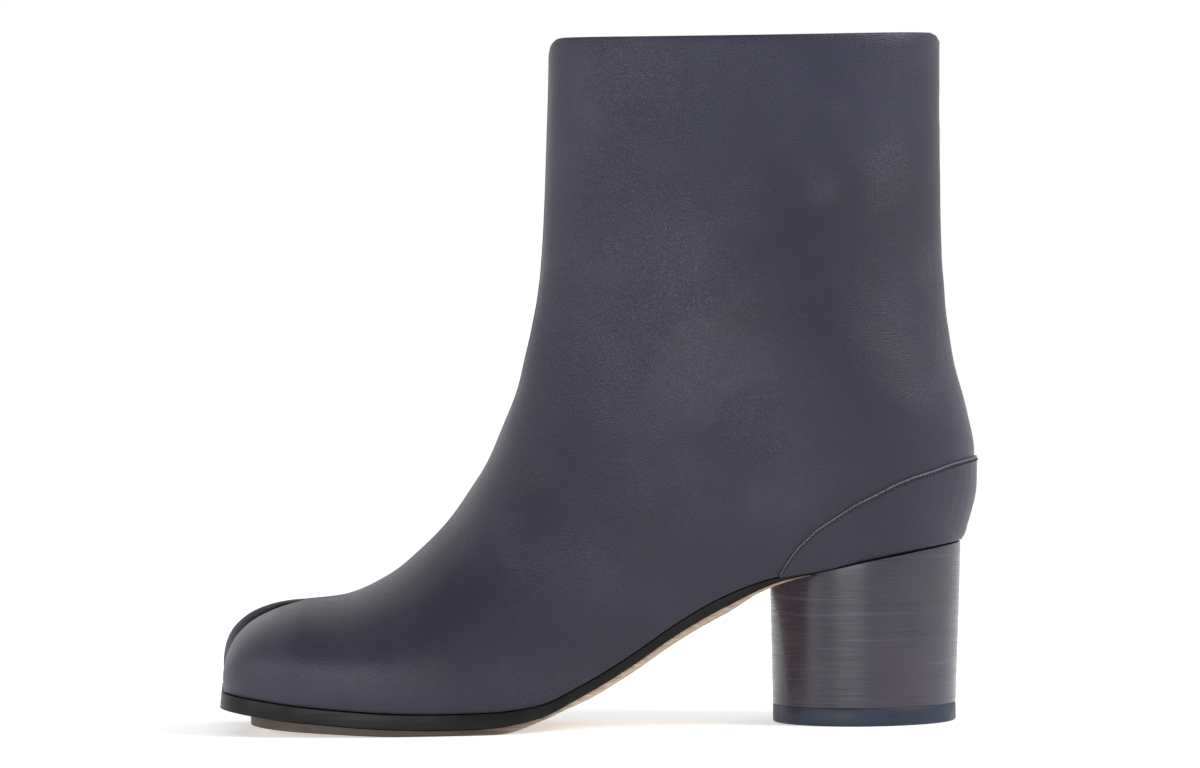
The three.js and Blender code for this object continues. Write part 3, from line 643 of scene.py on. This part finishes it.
class Sheet:
    """Points in millimetres, faces, and the painted shade at each point."""

    def __init__(self):
        self.points = []
        self.faces = []
        self.painted_shade = []

    def add(self, points, painted_shade=0.0):
        """Takes in points with one painted shade value or one each, and returns where they start."""
        start = len(self.points)
        self.points.extend(tuple(float(c) for c in p) for p in points)
        self.painted_shade.extend(np.full(len(points), painted_shade) if np.ndim(painted_shade) == 0 else np.ravel(painted_shade))
        return start

    def grid(self, grid, turned=False, painted_shade=0.0):
        """Rows of points joined by quads."""
        grid = np.asarray(grid)
        rows, columns = grid.shape[:2]
        start = self.add(grid.reshape(-1, 3), painted_shade)
        for i, j in np.ndindex(rows - 1, columns - 1):
            a = start + i * columns + j
            quad = (a, a + 1, a + columns + 1, a + columns)
            self.faces.append(quad[::-1] if turned else quad)

    def fan(self, ring):
        """Closes a ring of points with triangles to its middle."""
        ring = np.asarray(ring)
        start = self.add([*ring, ring.mean(axis=0)])
        count = len(ring)
        for i in range(count):
            self.faces.append((start + i, start + (i + 1) % count, start + count))

    def build(self, name, materials, second_from=None):
        """Object with merged points; the faces from second_from on take the second material."""
        mesh = bpy.data.meshes.new(name)
        mesh.from_pydata([tuple(c * MM for c in p) for p in self.points], [], self.faces)
        for material in materials:
            mesh.materials.append(material)
        if second_from is not None:
            for polygon in mesh.polygons[second_from:]:
                polygon.material_index = 1
        # The painted shade goes on the mesh as a point attribute, which the materials read.
        darkness = mesh.attributes.new("painted_shade", "FLOAT", "POINT")
        darkness.data.foreach_set("value", np.array(self.painted_shade, np.float32))
        obj = placed(name, mesh)
        merge_doubles(obj)
        mesh.shade_smooth()
        return obj


def placed(name, data):
    """New object in the scene."""
    obj = bpy.data.objects.new(name, data)
    bpy.context.scene.collection.objects.link(obj)
    return obj


def merge_doubles(obj):
    """Joins points that lie on each other, drops empty faces and turns the rest outward."""
    grid = bmesh.new()
    grid.from_mesh(obj.data)
    bmesh.ops.remove_doubles(grid, verts=grid.verts, dist=SAME_POINT)
    bmesh.ops.dissolve_degenerate(grid, edges=grid.edges, dist=NO_LENGTH)
    bmesh.ops.recalc_face_normals(grid, faces=grid.faces)
    grid.to_mesh(obj.data)
    grid.free()


# The skin of the upper as fine rows of points, per side

TOE_FINE = 34  # rows along each toe
BODY_FINE = 6  # rows for each slice behind the toes
STEPS = (14, 26, 24, 9)  # points up the lower side, the upper side, the shoulder and the cleft's slot
SHOULDER_AT = STEPS[0] + STEPS[1]
SIDES = (-1, 1)


def skin_rows(side):
    toes = [toe_slice(TOE_ROWS * i / TOE_FINE, side) for i in range(TOE_FINE)]
    places = [i / BODY_FINE for i in range(LAST_PLACE * BODY_FINE + 1)]
    body = [body_slice(p, side) for p in places]
    crotch = {**body[0], "slot": True}
    toe_rows = [slice_points(cut, side, STEPS) for cut in [*toes, crotch]]
    body_rows = [slice_points(cut, side, (*STEPS[:3], 0)) for cut in body]
    return np.array(toe_rows), np.array(body_rows)


def row_normals(grid, side):
    """Outward direction at each point of a grid of rows."""
    across = np.gradient(grid, axis=0)
    up = np.gradient(grid, axis=1)
    normal = np.cross(across, up) * (-side)
    length = np.linalg.norm(normal, axis=2, keepdims=True)
    return normal / np.maximum(length, 1e-9)


# Relief of the skin, in millimetres along its normals

SEAM_FRONT_FROM = 2.2  # place of the slice where the front seam starts, behind the cleft
SEAM_RIDGE = 0.15
SEAM_RIDGE_WIDTH = 0.5
SEAM_GROOVE = 0.55
SEAM_GROOVE_AT = 1.2
SEAM_GROOVE_WIDTH = 0.45
BACK_SEAM_DEPTH = 0.3
BACK_SEAM_WIDTH = 0.4
WAVE_HEIGHT = 0.2
RIPPLE_HEIGHT = 0.09
FOLD_HEIGHT = 0.2
LIP_RISE = 0.9

# Painted shade in the seam grooves and where the leather turns into the cleft, as shares
FRONT_SEAM_DARK = 0.9
BACK_SEAM_DARK = 0.6
OUTER_TOE_DARK = 0.8
BIG_TOE_SHOULDER_DARK = 0.4
BIG_TOE_SLOT_DARK = 0.85
DARK_ABOVE = 0.25  # the big toe is dark from this far over the outer toe's crown
DARK_FROM_TURN = 0.3  # and never on the first part of its shoulder


def near(distance, at, width):
    """1 at a distance, falling off softly to both sides."""
    return np.exp(-(((distance - at) / width) ** 2))


def soft_waves(points):
    """Slow unevenness of lasted leather, under half a millimetre."""
    x, y, z = points[..., 0], points[..., 1], points[..., 2]
    leg = ease((z - 60) / 60)
    back = ease((x + 10) / 40) * ease((z - 90) / 40)
    wave = WAVE_HEIGHT * leg * np.sin(x / 13 + z / 31 + 0.6) * np.sin(z / 24 - x / 37)
    ripples = np.sin(z / 2.6 + 1.3 * np.sin(x / 6)) * np.sin(z / 17 + x / 9) ** 2
    instep = ease((-x - 92) / 12) * ease((z - 70) / 14) * ease((128 - z) / 16)
    fold = FOLD_HEIGHT * instep * np.sin(z / 5.2 + x / 11)
    return wave + RIPPLE_HEIGHT * back * ripples + fold


def seams(body):
    """Relief of the front and back seams over the body's rows, and painted shade in their grooves."""
    places = np.arange(len(body)) / BODY_FINE
    from_front = np.linalg.norm(body - body[:, -1:], axis=2)
    from_back = np.linalg.norm(body - body[:, :1], axis=2)
    front = ease((places - SEAM_FRONT_FROM) / 1.5)[:, None]
    behind = (places > SEAT_END + 3)[:, None]
    groove = near(from_front, SEAM_GROOVE_AT, SEAM_GROOVE_WIDTH)
    relief = front * (SEAM_RIDGE * near(from_front, 0, SEAM_RIDGE_WIDTH) - SEAM_GROOVE * groove)
    relief = relief - behind * BACK_SEAM_DEPTH * near(from_back, 0, BACK_SEAM_WIDTH)
    # Painted shade in the front seam's groove and along the back seam
    dark = FRONT_SEAM_DARK * front * groove
    return relief, dark + BACK_SEAM_DARK * behind * near(from_back, 0, 0.3)


def drop_turn(rows, turn):
    """For each row of the big toe, how far round its shoulder it drops behind the outer toe's crown."""
    crown = np.array([toe_slice(row, -1)["to"] for row in np.linspace(0, TOE_ROWS, 60)])
    level = np.interp(rows[..., SHOULDER_AT, 0], crown[:, 0], crown[:, 1]) + DARK_ABOVE
    heights = rows[:, SHOULDER_AT : SHOULDER_AT + STEPS[2] + 1, 2]
    shoulder = turn[SHOULDER_AT : SHOULDER_AT + STEPS[2] + 1]
    drops = [np.interp(-z, -row, shoulder) for z, row in zip(level, heights)]
    return np.maximum(DARK_FROM_TURN, drops)


def cleft_shade(rows, side):
    """Painted shade on the leather that turns into the cleft: none at crowns and tips, most in the
    slot.
    """
    turn = np.clip((np.arange(rows.shape[1]) - SHOULDER_AT) / STEPS[2], 0, 1)
    fade_out = 1 - ease((rows[:, -1, 0] - CROTCH_X) / (CLEFT_END_X - CROTCH_X))
    from_tip = ease((rows[:, -1, 0] - tip_x(side)) / LOBE_ROUND)
    if side < 0:
        return OUTER_TOE_DARK * (fade_out * from_tip)[:, None] * ease((turn - 0.4) / 0.6)
    # A painted dark line on the big toe where it drops behind the outer toe's crown
    dropped = ease((turn - drop_turn(rows, turn)[:, None] + 0.1) / 0.15)
    painted_shade = np.maximum(BIG_TOE_SHOULDER_DARK * ease(turn / 0.3), BIG_TOE_SLOT_DARK * dropped)
    return (fade_out * mix(0.5, 1, from_tip))[:, None] * painted_shade


def rounded_lip(outside, inside):
    """Rows of points that roll over the collar from its outside to its inside."""
    middle, half = (outside + inside) / 2, (outside - inside) / 2
    lip = []
    for turn in (0.17, 0.33, 0.5, 0.67, 0.83):
        angle = turn * math.pi
        lip.append(middle + half * math.cos(angle) + np.array((0, 0, LIP_RISE)) * math.sin(angle))
    return lip


def skin_grids(side):
    """Points of one side, outside and lining, with their painted shade, up to the collar's lip."""
    toes, body = skin_rows(side)
    toe_normals, body_normals = row_normals(toes, side), row_normals(body, side)
    body_normals[:, -1, 1] = 0
    body_normals[SEAT_END * BODY_FINE :, 0, 1] = 0
    body_normals /= np.linalg.norm(body_normals, axis=2, keepdims=True)
    relief, seam_shade = seams(body)
    skin = body + body_normals * (relief + soft_waves(body))[..., None]
    lining = body - body_normals * WALL
    skin[-1, :, 2] -= LIP_RISE
    lining[-1, :, 2] -= LIP_RISE
    lip = rounded_lip(skin[-1], lining[-1])
    painted_shade = np.maximum(seam_shade, cleft_shade(body, side))
    return {
        "toes": toes,
        "toe_shade": cleft_shade(toes, side),
        "toe_lining": toes - toe_normals * WALL,
        "skin": np.concatenate([skin, lip]),
        "painted_shade": np.concatenate([painted_shade, np.repeat(painted_shade[-1:], len(lip), axis=0)]),
        "lining": np.concatenate([lining, lip[-1:]]),
    }


def build_upper():
    """Leather outside with its cleft and seams, rolled collar, and the lining inside."""
    sheet = Sheet()
    both = [(side, skin_grids(side)) for side in SIDES]
    for side, grids in both:
        sheet.grid(grids["toes"], side < 0, grids["toe_shade"])
        sheet.grid(grids["skin"], side < 0, grids["painted_shade"])
        sheet.fan(grids["toes"][0])
    lining_from = len(sheet.faces)
    for side, grids in both:
        sheet.grid(grids["toe_lining"][3:], side > 0)
        sheet.grid(grids["lining"], side > 0)
    return sheet.build("upper_leather", (LEATHER, LINING), lining_from)


# The counter, laid on the skin by rays from the heel's axis

COUNTER_COLUMNS = 150
COUNTER_ROWS = 22
COUNTER_LIFT = 0.85  # its face stands this far out from the skin
COUNTER_TUCK = 0.45  # its lower edge turns in this far below the feather line
EDGE_BAND = 3  # this far below its top edge the rows lie closer, for the groove of the stitches
CUT_EDGE_RINGS = (  # how far below the top edge, and how far out from the skin
    (0.12, COUNTER_LIFT - 0.05),
    (0.03, COUNTER_LIFT - 0.2),
    (0.0, COUNTER_LIFT - 0.4),
    (0.0, 0.05),
)
# Painted shade on the cut edge's row that meets the upper
CUT_EDGE_DARK = 0.9  # where it meets the upper
RAY_HEIGHT = 65.0  # where the rays start that look for the skin
RAY_TRIES = 8
RAY_STEP = 0.7

STITCH_PITCH = 1.35
STITCH_LENGTH = 0.78
STITCH_RADIUS = 0.3
STITCH_BELOW_EDGE = 1.15
STITCH_LIFT = 0.06
STITCH_LEAN = 0.25
STITCH_RINGS = ((-0.5, 0.4, 0.25), (-0.3, 1, 0), (0.3, 1, 0), (0.5, 0.4, 0.25))  # place, size, sunk by
STITCH_SIDES = 6
STITCH_GROOVE = 0.08
STITCH_GROOVE_WIDTH = 0.3
# Painted shade in the stitch groove
STITCH_GROOVE_DARK = 0.1


def counter_top(x):
    return float(np.interp(-x / LENGTH, COUNTER_EDGE[::-1, 0], COUNTER_EDGE[::-1, 1])) * BOOT_HEIGHT


def counter_end(side):
    """Direction of the counter's front tip on one side, where its top edge meets the feather line."""
    front = next(x for x in np.arange(0, -60, -0.1) if counter_top(x) < feather_z(x) + 0.6)
    return math.atan2(side * feather_y(front, side), front)


COUNTER_ENDS = tuple(counter_end(side) for side in SIDES)


def skin_tree():
    """The bare skin as something that rays can hit."""
    sheet = Sheet()
    for side in SIDES:
        sheet.grid(skin_rows(side)[1], side < 0)
    return BVHTree.FromPolygons([Vector(p) for p in sheet.points], sheet.faces)


def hit(tree, angle, height_of):
    """Point and outward normal of the skin in a direction round the heel, at the height for its x."""
    way = Vector((math.cos(angle), math.sin(angle), 0))
    z = RAY_HEIGHT
    for _ in range(RAY_TRIES):
        point, normal, _, _ = tree.ray_cast(Vector((0, 0, z)), way)
        z = mix(z, height_of(point.x), RAY_STEP)
    if normal.dot(way) < 0:
        normal = -normal
    return np.array(point), np.array(normal)


def counter_low(x):
    return feather_z(x) + 0.15


def below_edge(x, below):
    """Height a little below the counter's top edge; the rows close up at its front tip."""
    return max(counter_low(x) + 0.04 * (6 - below), counter_top(x) - 0.1 - below)


def face_height(x, share):
    """Height on the counter's face, from its foot up to the band under its top edge."""
    return mix(counter_low(x), below_edge(x, EDGE_BAND), share)


def counter_ring(tree, height_of, lift, below=0.0):
    """Points round the heel on the skin at the height given for their x, moved out and down."""
    ring = []
    for i in range(COUNTER_COLUMNS + 1):
        point, normal = hit(tree, mix(*COUNTER_ENDS, i / COUNTER_COLUMNS), height_of)
        ring.append(point + normal * lift - np.array((0, 0, below)))
    return ring


def build_counter(tree):
    """Counter with its foot tucked under, a groove for the stitches, and a rounded cut edge."""
    rings = [
        counter_ring(tree, counter_low, lift, below)
        for lift, below in ((0.1, COUNTER_TUCK), (0.5, COUNTER_TUCK), (0.75, COUNTER_TUCK - 0.15))
    ]
    for share in np.arange(COUNTER_ROWS) / COUNTER_ROWS:
        rings.append(counter_ring(tree, lambda x: face_height(x, share), COUNTER_LIFT))
    # Painted shade: a little in the stitch groove, and most on the cut edge's last row, where it meets
    # the upper
    painted_shade = [0.0] * len(rings)
    for below in np.arange(EDGE_BAND, 0.2, -0.2):
        groove = float(near(below, STITCH_BELOW_EDGE, STITCH_GROOVE_WIDTH))
        lift = COUNTER_LIFT - STITCH_GROOVE * groove
        rings.append(counter_ring(tree, lambda x: below_edge(x, below), lift))
        painted_shade.append(STITCH_GROOVE_DARK * groove)
    cut_from = (len(rings) - 1) * COUNTER_COLUMNS
    for below, lift in CUT_EDGE_RINGS:
        rings.append(counter_ring(tree, lambda x: below_edge(x, below), lift))
        painted_shade.append(0.0)
    painted_shade[-1] = CUT_EDGE_DARK
    sheet = Sheet()
    sheet.grid(rings, True, np.repeat(painted_shade, COUNTER_COLUMNS + 1))
    return sheet.build("counter_leather", (LEATHER, CUT_EDGE), cut_from)


def reach_along(line):
    """How far along a line of points each one lies."""
    return np.concatenate([[0], np.cumsum(np.linalg.norm(np.diff(line, axis=0), axis=1))])


def points_at(line, reach, wanted):
    """Points of the line at the wanted distances along it."""
    return np.stack([np.interp(wanted, reach, column) for column in np.transpose(line)], axis=1)


def stitch_rings(before, middle, after):
    """Rings of points of one short thread, which leans a little off the line."""
    out = Vector((middle[0], middle[1], 0)).normalized()
    way = Vector(after - before).normalized()
    up = out.cross(way).normalized()
    way = (way + up * STITCH_LEAN).normalized()
    angles = [2 * math.pi * k / STITCH_SIDES for k in range(STITCH_SIDES + 1)]
    rings = []
    for at, size, sunk in STITCH_RINGS:
        centre = Vector(middle) + way * (at * STITCH_LENGTH) - out * sunk
        spokes = [out * math.cos(angle) + up * math.sin(angle) for angle in angles]
        rings.append([centre + spoke * STITCH_RADIUS * size for spoke in spokes])
    return rings


def build_stitches(tree):
    """Row of short threads under the counter's edge, each sunk at its ends."""
    line = counter_ring(tree, lambda x: below_edge(x, STITCH_BELOW_EDGE), COUNTER_LIFT + STITCH_LIFT)
    reach = reach_along(line)
    places = points_at(line, reach, np.arange(0.5 * STITCH_PITCH, reach[-1], STITCH_PITCH))
    sheet = Sheet()
    for before, middle, after in zip(places, places[1:], places[2:]):
        sheet.grid(stitch_rings(before, middle, after))
    return sheet.build("counter_stitches", (THREAD,))


# The sole's plates, from the same outline as the part's

OUTLINE_FINE = 3
OUTLINE_PITCH = 1.6
FILL_PITCH = 4.0
EDGE_STEPS = 5
MIDSOLE_BEVEL = 0.25
MIDSOLE_DRAWN_IN = 0.5
MIDSOLE_FLARE = 0.5
OUTSOLE_BEVEL = 0.2
INSOLE_BEVEL = 0.5
INSOLE_INSET = WALL + 0.7
INSOLE_PITCH = 2.0


def share_of(x):
    return -x / LENGTH


def fade(x, start, end, low, high):
    """Goes softly from low to high between two shares of LENGTH."""
    return mix(low, high, ease((share_of(x) - start) / (end - start)))


def midsole_thickness(x):
    fore = fade(x, 0.38, 0.52, MIDSOLE_WAIST_THICKNESS, MIDSOLE_THICKNESS)
    return fade(x, 0.08, 0.2, MIDSOLE_SEAT_THICKNESS, fade(x, 0.7, 0.8, fore, MIDSOLE_TOE_THICKNESS))


def midsole_top(x, y=0):
    return feather_z(x) - FIT_GAP


def midsole_bottom(x, y=0):
    return midsole_top(x) - midsole_thickness(x)


def midsole_ledge(x):
    return fade(x, 0.36, 0.5, 0, MIDSOLE_LEDGE)


def outsole_top(x, y=0):
    return midsole_bottom(x) - FIT_GAP


HEEL_BREAST = HEEL_TOP_X - HEEL_TOP_RADIUS


def outsole_bottom(x, y=0):
    half = max(1, (feather_y(x, -1) + feather_y(x, 1)) / 2)
    middle = (feather_y(x, 1) - feather_y(x, -1)) / 2
    crown = max(0, 1 - ((y - middle) / half) ** 2)
    waist = ease((0.44 - share_of(x)) / 0.08) * ease((share_of(x) - share_of(HEEL_BREAST)) / 0.06)
    edge = fade(x, 0.07, 0.15, OUTSOLE_REAR_THICKNESS, OUTSOLE_EDGE_THICKNESS)
    hung = outsole_top(x) - edge - OUTSOLE_WAIST_BELLY * waist * crown
    lift = OUTSOLE_TOE_LIFT * float(clamp01((share_of(x) - 0.61) / 0.2)) ** 1.3
    return mix(hung, lift, ease((share_of(x) - 0.42) / 0.07))


def offset_ring(points, by):
    """Closed outline moved outward; by is one distance or one for each point."""
    points = np.array(points)
    way = np.roll(points, -1, axis=0) - np.roll(points, 1, axis=0)
    way /= np.maximum(np.linalg.norm(way, axis=1, keepdims=True), 1e-9)
    return points + np.stack([way[:, 1], -way[:, 0]], axis=1) * np.reshape(by, (-1, 1))


def plan_outline(grow, slot_grow):
    """Outline of the foot seen from above, moved outward by grow(x), and by slot_grow in the cleft."""
    ring = []
    for side in SIDES:
        toes = [toe_slice(i / OUTLINE_FINE, side) for i in range(TOE_ROWS * OUTLINE_FINE)]
        sole = [body_slice(i / OUTLINE_FINE, side) for i in range(SEAT_END * OUTLINE_FINE)]

        def at(cut, across, share):
            return (cut["from"][0], cut["centre"] + side * across, share)

        run = [(CROTCH_X, cleft_y(CROTCH_X), 0)]
        for cut in reversed(toes):
            from_slot = clamp01((cut["inner"] - CLEFT_GAP / 2) / (0.5 * LOBE_ROUND))
            run.append(at(cut, cut["inner"], from_slot))
        run += [at(cut, cut["edge"], 1) for cut in toes + sole]
        run.append((SEAT_BACK, 0, 1))
        ring += run if side < 0 else run[::-1][1:-1]
    ring = np.array(ring, float)
    by = [share * grow(x) + (1 - share) * slot_grow for x, _, share in ring]
    return offset_ring(ring[:, :2], by)


def evened(ring, pitch=OUTLINE_PITCH):
    """The outline again with points at an even pitch."""
    closed = np.vstack([ring, ring[:1]])
    reach = reach_along(closed)
    wanted = np.linspace(0, reach[-1], int(reach[-1] / pitch), endpoint=False)
    return points_at(closed, reach, wanted)


def filled(ring):
    """Points and triangles over an outline, with points inside it on a grid."""
    low, high = ring.min(axis=0) + FILL_PITCH / 2, ring.max(axis=0)
    points = [Vector(p) for p in ring]
    for x in np.arange(low[0], high[0], FILL_PITCH):
        for y in np.arange(low[1], high[1], FILL_PITCH):
            points.append(Vector((x, y)))
    edges = [(i, (i + 1) % len(ring)) for i in range(len(ring))]
    made = delaunay_2d_cdt(points, edges, [range(len(ring))], 1, 1e-5)
    return made[0], made[2]


def plate_edge(ring, height, bevel, flared, low):
    """Rings of points round one edge of a plate, from face to side, or back for the low edge."""
    rings = []
    for step in range(EDGE_STEPS + 1):
        angle = (1 - step / EDGE_STEPS if low else step / EDGE_STEPS) * math.pi / 2
        moved = offset_ring(ring, flared - bevel * (1 - math.sin(angle)))
        by = bevel * (1 - math.cos(angle)) * (1 if low else -1)
        rings.append([(x, y, height(x, y) + by) for x, y in moved])
    return rings


def build_plate(name, ring, heights, bevel, materials, flare=None):
    """Closed plate over an outline between two heights, with round edges; its foot may flare out."""
    bottom, top = heights
    spread = np.array([flare(x) if flare else 0.0 for x, _ in ring])
    rings = plate_edge(ring, top, bevel, 0 * spread, False)
    rings += plate_edge(ring, bottom, bevel, spread, True)
    sheet = Sheet()
    sheet.grid([r + r[:1] for r in rings])
    side_faces = len(sheet.faces)
    for height, low in ((top, False), (bottom, True)):
        vertices, faces = filled(offset_ring(ring, spread * low - bevel))
        start = sheet.add([(x, y, height(x, y)) for x, y in vertices])
        for face in faces:
            face = tuple(start + i for i in face)
            sheet.faces.append(face[::-1] if low else face)
    return sheet.build(name, materials, side_faces)


def build_midsole():
    """Black welt, drawn in a little under the heel and flared at the toe's foot."""

    def ledge(x):
        return midsole_ledge(x) - fade(x, 0.1, 0.16, MIDSOLE_DRAWN_IN, 0)

    def flare(x):
        return fade(x, 0.72, 0.83, 0, MIDSOLE_FLARE)

    ring = evened(plan_outline(ledge, 0))
    heights = (midsole_bottom, midsole_top)
    return build_plate("midsole_edge", ring, heights, MIDSOLE_BEVEL, (EDGE_INK, EDGE_INK), flare)


def build_outsole():
    """Leather sole, inset from the welt, that stops short of the toe and under the heel's front."""
    inset = plan_outline(lambda x: midsole_ledge(x) - OUTSOLE_INSET, -OUTSOLE_SLOT_INSET)
    ring = []
    for x, y in evened(inset):
        toe = OUTSOLE_TOE_INSET * float(ease((share_of(x) - 0.74) / (TOE_TIP - 0.74)))
        point = (min(x + toe, HEEL_BREAST + OUTSOLE_TONGUE), y)
        if not ring or math.dist(point, ring[-1]) > 0.4:
            ring.append(point)
    heights = (outsole_bottom, outsole_top)
    materials = (SOLE_EDGE, SOLE_LEATHER)
    return build_plate("outsole_leather", evened(np.array(ring)), heights, OUTSOLE_BEVEL, materials)


def build_insole():
    ring = evened(plan_outline(lambda x: -INSOLE_INSET, -INSOLE_INSET), INSOLE_PITCH)
    heights = (lambda x, y: feather_z(x), lambda x, y: feather_z(x) + INSOLE_THICKNESS)
    return build_plate("insole_board", ring, heights, INSOLE_BEVEL, (INSOLE, INSOLE))


# The heel

HEEL_FINE = 128
HEEL_LEVEL_TO = 34  # the heel's rings are level up to here, and follow the sole above
HEEL_SIDE_TO = 52
HEEL_SLOPE_UNDER = 1.2  # the last sloped ring lies this far under the sole
HEEL_TOP_GAP = 0.05
HEEL_SHARP_OVER = math.radians(30)


def heel_top(x, y):
    under_outsole = x < HEEL_BREAST + OUTSOLE_TONGUE + FIT_GAP
    return (outsole_bottom(x, y) if under_outsole else midsole_bottom(x)) - HEEL_TOP_GAP


def lathe(name, rings, materials):
    """Closed round solid from rings of radius, middle, and height or a function for the height."""
    rows = []
    for radius, middle, height in rings:
        row = []
        for i in range(HEEL_FINE + 1):
            angle = 2 * math.pi * i / HEEL_FINE
            x, y = middle + radius * math.cos(angle), radius * math.sin(angle)
            row.append((x, y, height(x, y) if callable(height) else height))
        rows.append(row)
    sheet = Sheet()
    sheet.grid(rows)
    for row in (rows[0], rows[-1]):
        sheet.fan(row[:-1])
    return sheet.build(name, materials)


def heel_size(z):
    """Radius and middle of the heel at a height."""
    up = (z - LIFT_THICKNESS) / (SEAT_HEIGHT - LIFT_THICKNESS)
    return mix(HEEL_FOOT_RADIUS, HEEL_TOP_RADIUS, up), mix(HEEL_FOOT_X, HEEL_TOP_X, up)


def build_heel():
    """Stacked heel: level rings, then rings that take on the sole's slope, and a sharp top edge."""

    def slope(x):
        return min(outsole_bottom(x), midsole_bottom(x)) - HEEL_SLOPE_UNDER

    def sloped(share):
        return lambda x, y: mix(HEEL_LEVEL_TO, slope(x), share)

    def under_top(by):
        return lambda x, y: heel_top(x, y) - by

    foot = LIFT_THICKNESS
    rings = [(HEEL_FOOT_RADIUS - inset, HEEL_FOOT_X, foot) for inset in (1.0, 0.12)]
    rings += [(*heel_size(z), z) for z in np.linspace(foot + 0.2, HEEL_LEVEL_TO, 12)]
    for share in (0.25, 0.5, 0.75, 1.0):
        rings.append((*heel_size(mix(HEEL_LEVEL_TO, HEEL_SIDE_TO, share)), sloped(share)))
    radius, middle = heel_size(HEEL_SIDE_TO)
    rings += [(radius, middle, under_top(by)) for by in (0.5, 0.35, 0.2)]
    rings.append((radius - 0.15, middle, heel_top))
    rings += [(r, middle, heel_top) for r in (28, 24, 18, 12, 6, 1)]
    heel = lathe("heel_stack", rings, (HEEL_LEATHER,))
    heel.data.set_sharp_from_angle(angle=HEEL_SHARP_OVER)
    return heel


def build_lift():
    """Rubber lift with rounded edges."""
    foot, thick = HEEL_FOOT_RADIUS, LIFT_THICKNESS
    profile = ((foot - 1.2, 0), (foot - 0.55, 0.05), (foot - 0.2, 0.25), (foot, 0.7))
    profile += ((foot, thick - 0.25), (foot - 0.15, thick - 0.02), (foot - 1.2, thick - 0.02))
    return lathe("lift_rubber", [(radius, HEEL_FOOT_X, z) for radius, z in profile], (RUBBER,))


def dress():
    """Makes every piece and hides the model's parts that they stand for."""
    tree = skin_tree()
    pieces = (
        (build_upper(), "upper", "calf_leather"),
        (build_counter(tree), "heel_counter", "calf_leather"),
        (build_insole(), "insole", "insole_leather"),
        (build_midsole(), "midsole", "black_edge"),
        (build_outsole(), "outsole", "sole_leather"),
        (build_heel(), "heel_block", "stacked_heel"),
        (build_lift(), "top_lift", "navy_rubber"),
    )
    for piece, node, slot in pieces:
        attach(piece, "root")
        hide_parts(node)
    stitches = build_stitches(tree)
    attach(stitches, "root")


dress()


# Camera and light

FOCAL_MM = 131.7
SENSOR_MM = 36
DISTANCE = 1.405
AIM = Vector((-0.0835, 0.0, 0.1087))
ROLL = math.radians(-0.85)

# Soft boxes: where each stands, what it faces, its width and height, and its power
SOFT_BOXES = {
    "front": ((-0.65, -1.6, 0.2), (-0.06, 0, 0.1), (1.1, 0.35), 8),
    "left": ((-1.2, -0.5, 0.3), (-0.15, 0, 0.03), (0.5, 0.5), 2.5),
    "right": ((0.75, -0.35, 0.8), (0.03, 0, 0.1), (0.4, 0.4), 8),
}

# Light of the room by its direction: from, to, light at from, light at to
FRONT_TO_BACK = (-0.9, 0.35, 0.38, 1.0)
UP_TO_OVERHEAD = (0.35, 0.9, 1.0, 0.6)
FLOOR_HALF = 3000
FLOOR_GLOW = 0.42


def add_camera():
    data = bpy.data.cameras.new("camera")
    data.lens = FOCAL_MM
    data.sensor_width = SENSOR_MM
    camera = placed("camera", data)
    away = Vector((0, -DISTANCE, 0))
    look = (-away).to_track_quat("-Z", "Y").to_matrix().to_4x4()
    camera.matrix_world = Matrix.Translation(AIM + away) @ look @ Matrix.Rotation(ROLL, 4, "Z")
    bpy.context.scene.camera = camera


def add_area(name, location, target, size, power):
    data = bpy.data.lights.new(name, "AREA")
    data.shape = "RECTANGLE"
    data.size, data.size_y = size
    data.energy = power
    light = placed(name, data)
    light.location = location
    light.rotation_euler = (Vector(target) - Vector(location)).to_track_quat("-Z", "Y").to_euler()


def white_room():
    """White to the camera; its light is dimmer from overhead and from the boot's outer side."""
    world = bpy.data.worlds.new("studio")
    world.use_nodes = True
    room = Nodes(world.node_tree)
    around = room.node("ShaderNodeTexCoord").outputs["Generated"]
    way = room.node("ShaderNodeSeparateXYZ", {0: around}).outputs
    back = room.spread(way["Y"], *FRONT_TO_BACK, "LINEAR")
    overhead = room.spread(way["Z"], *UP_TO_OVERHEAD, "LINEAR")
    light = room.math("MULTIPLY", back, overhead)
    seen = room.node("ShaderNodeLightPath").outputs["Is Camera Ray"]
    background = room.tree.nodes["Background"]
    room.put(background.inputs["Color"], (1, 1, 1, 1))
    room.put(background.inputs["Strength"], room.math("MAXIMUM", light, seen))
    bpy.context.scene.world = world


def white_floor():
    look = Look("floor_paper")
    tooth = look.noise(300, 3)
    paper = look.two_tone(tooth, 0.3, 0.7, PAPER_TONES)
    glow = {"Emission_Color": (1, 1, 1, 1), "Emission_Strength": FLOOR_GLOW}
    look.finish(paper, 0.8, look.bump(tooth, 0.00003, 0.3), **glow)
    sheet = Sheet()
    corners = ((-1, -1), (1, -1), (1, 1), (-1, 1))
    sheet.add([(x * FLOOR_HALF, y * FLOOR_HALF, 0) for x, y in corners])
    sheet.faces.append((0, 1, 2, 3))
    sheet.build("floor", (look.material,))


def studio():
    add_camera()
    white_room()
    white_floor()
    for name, values in SOFT_BOXES.items():
        add_area(name, *values)
    bpy.context.scene.view_settings.view_transform = "Standard"


studio()
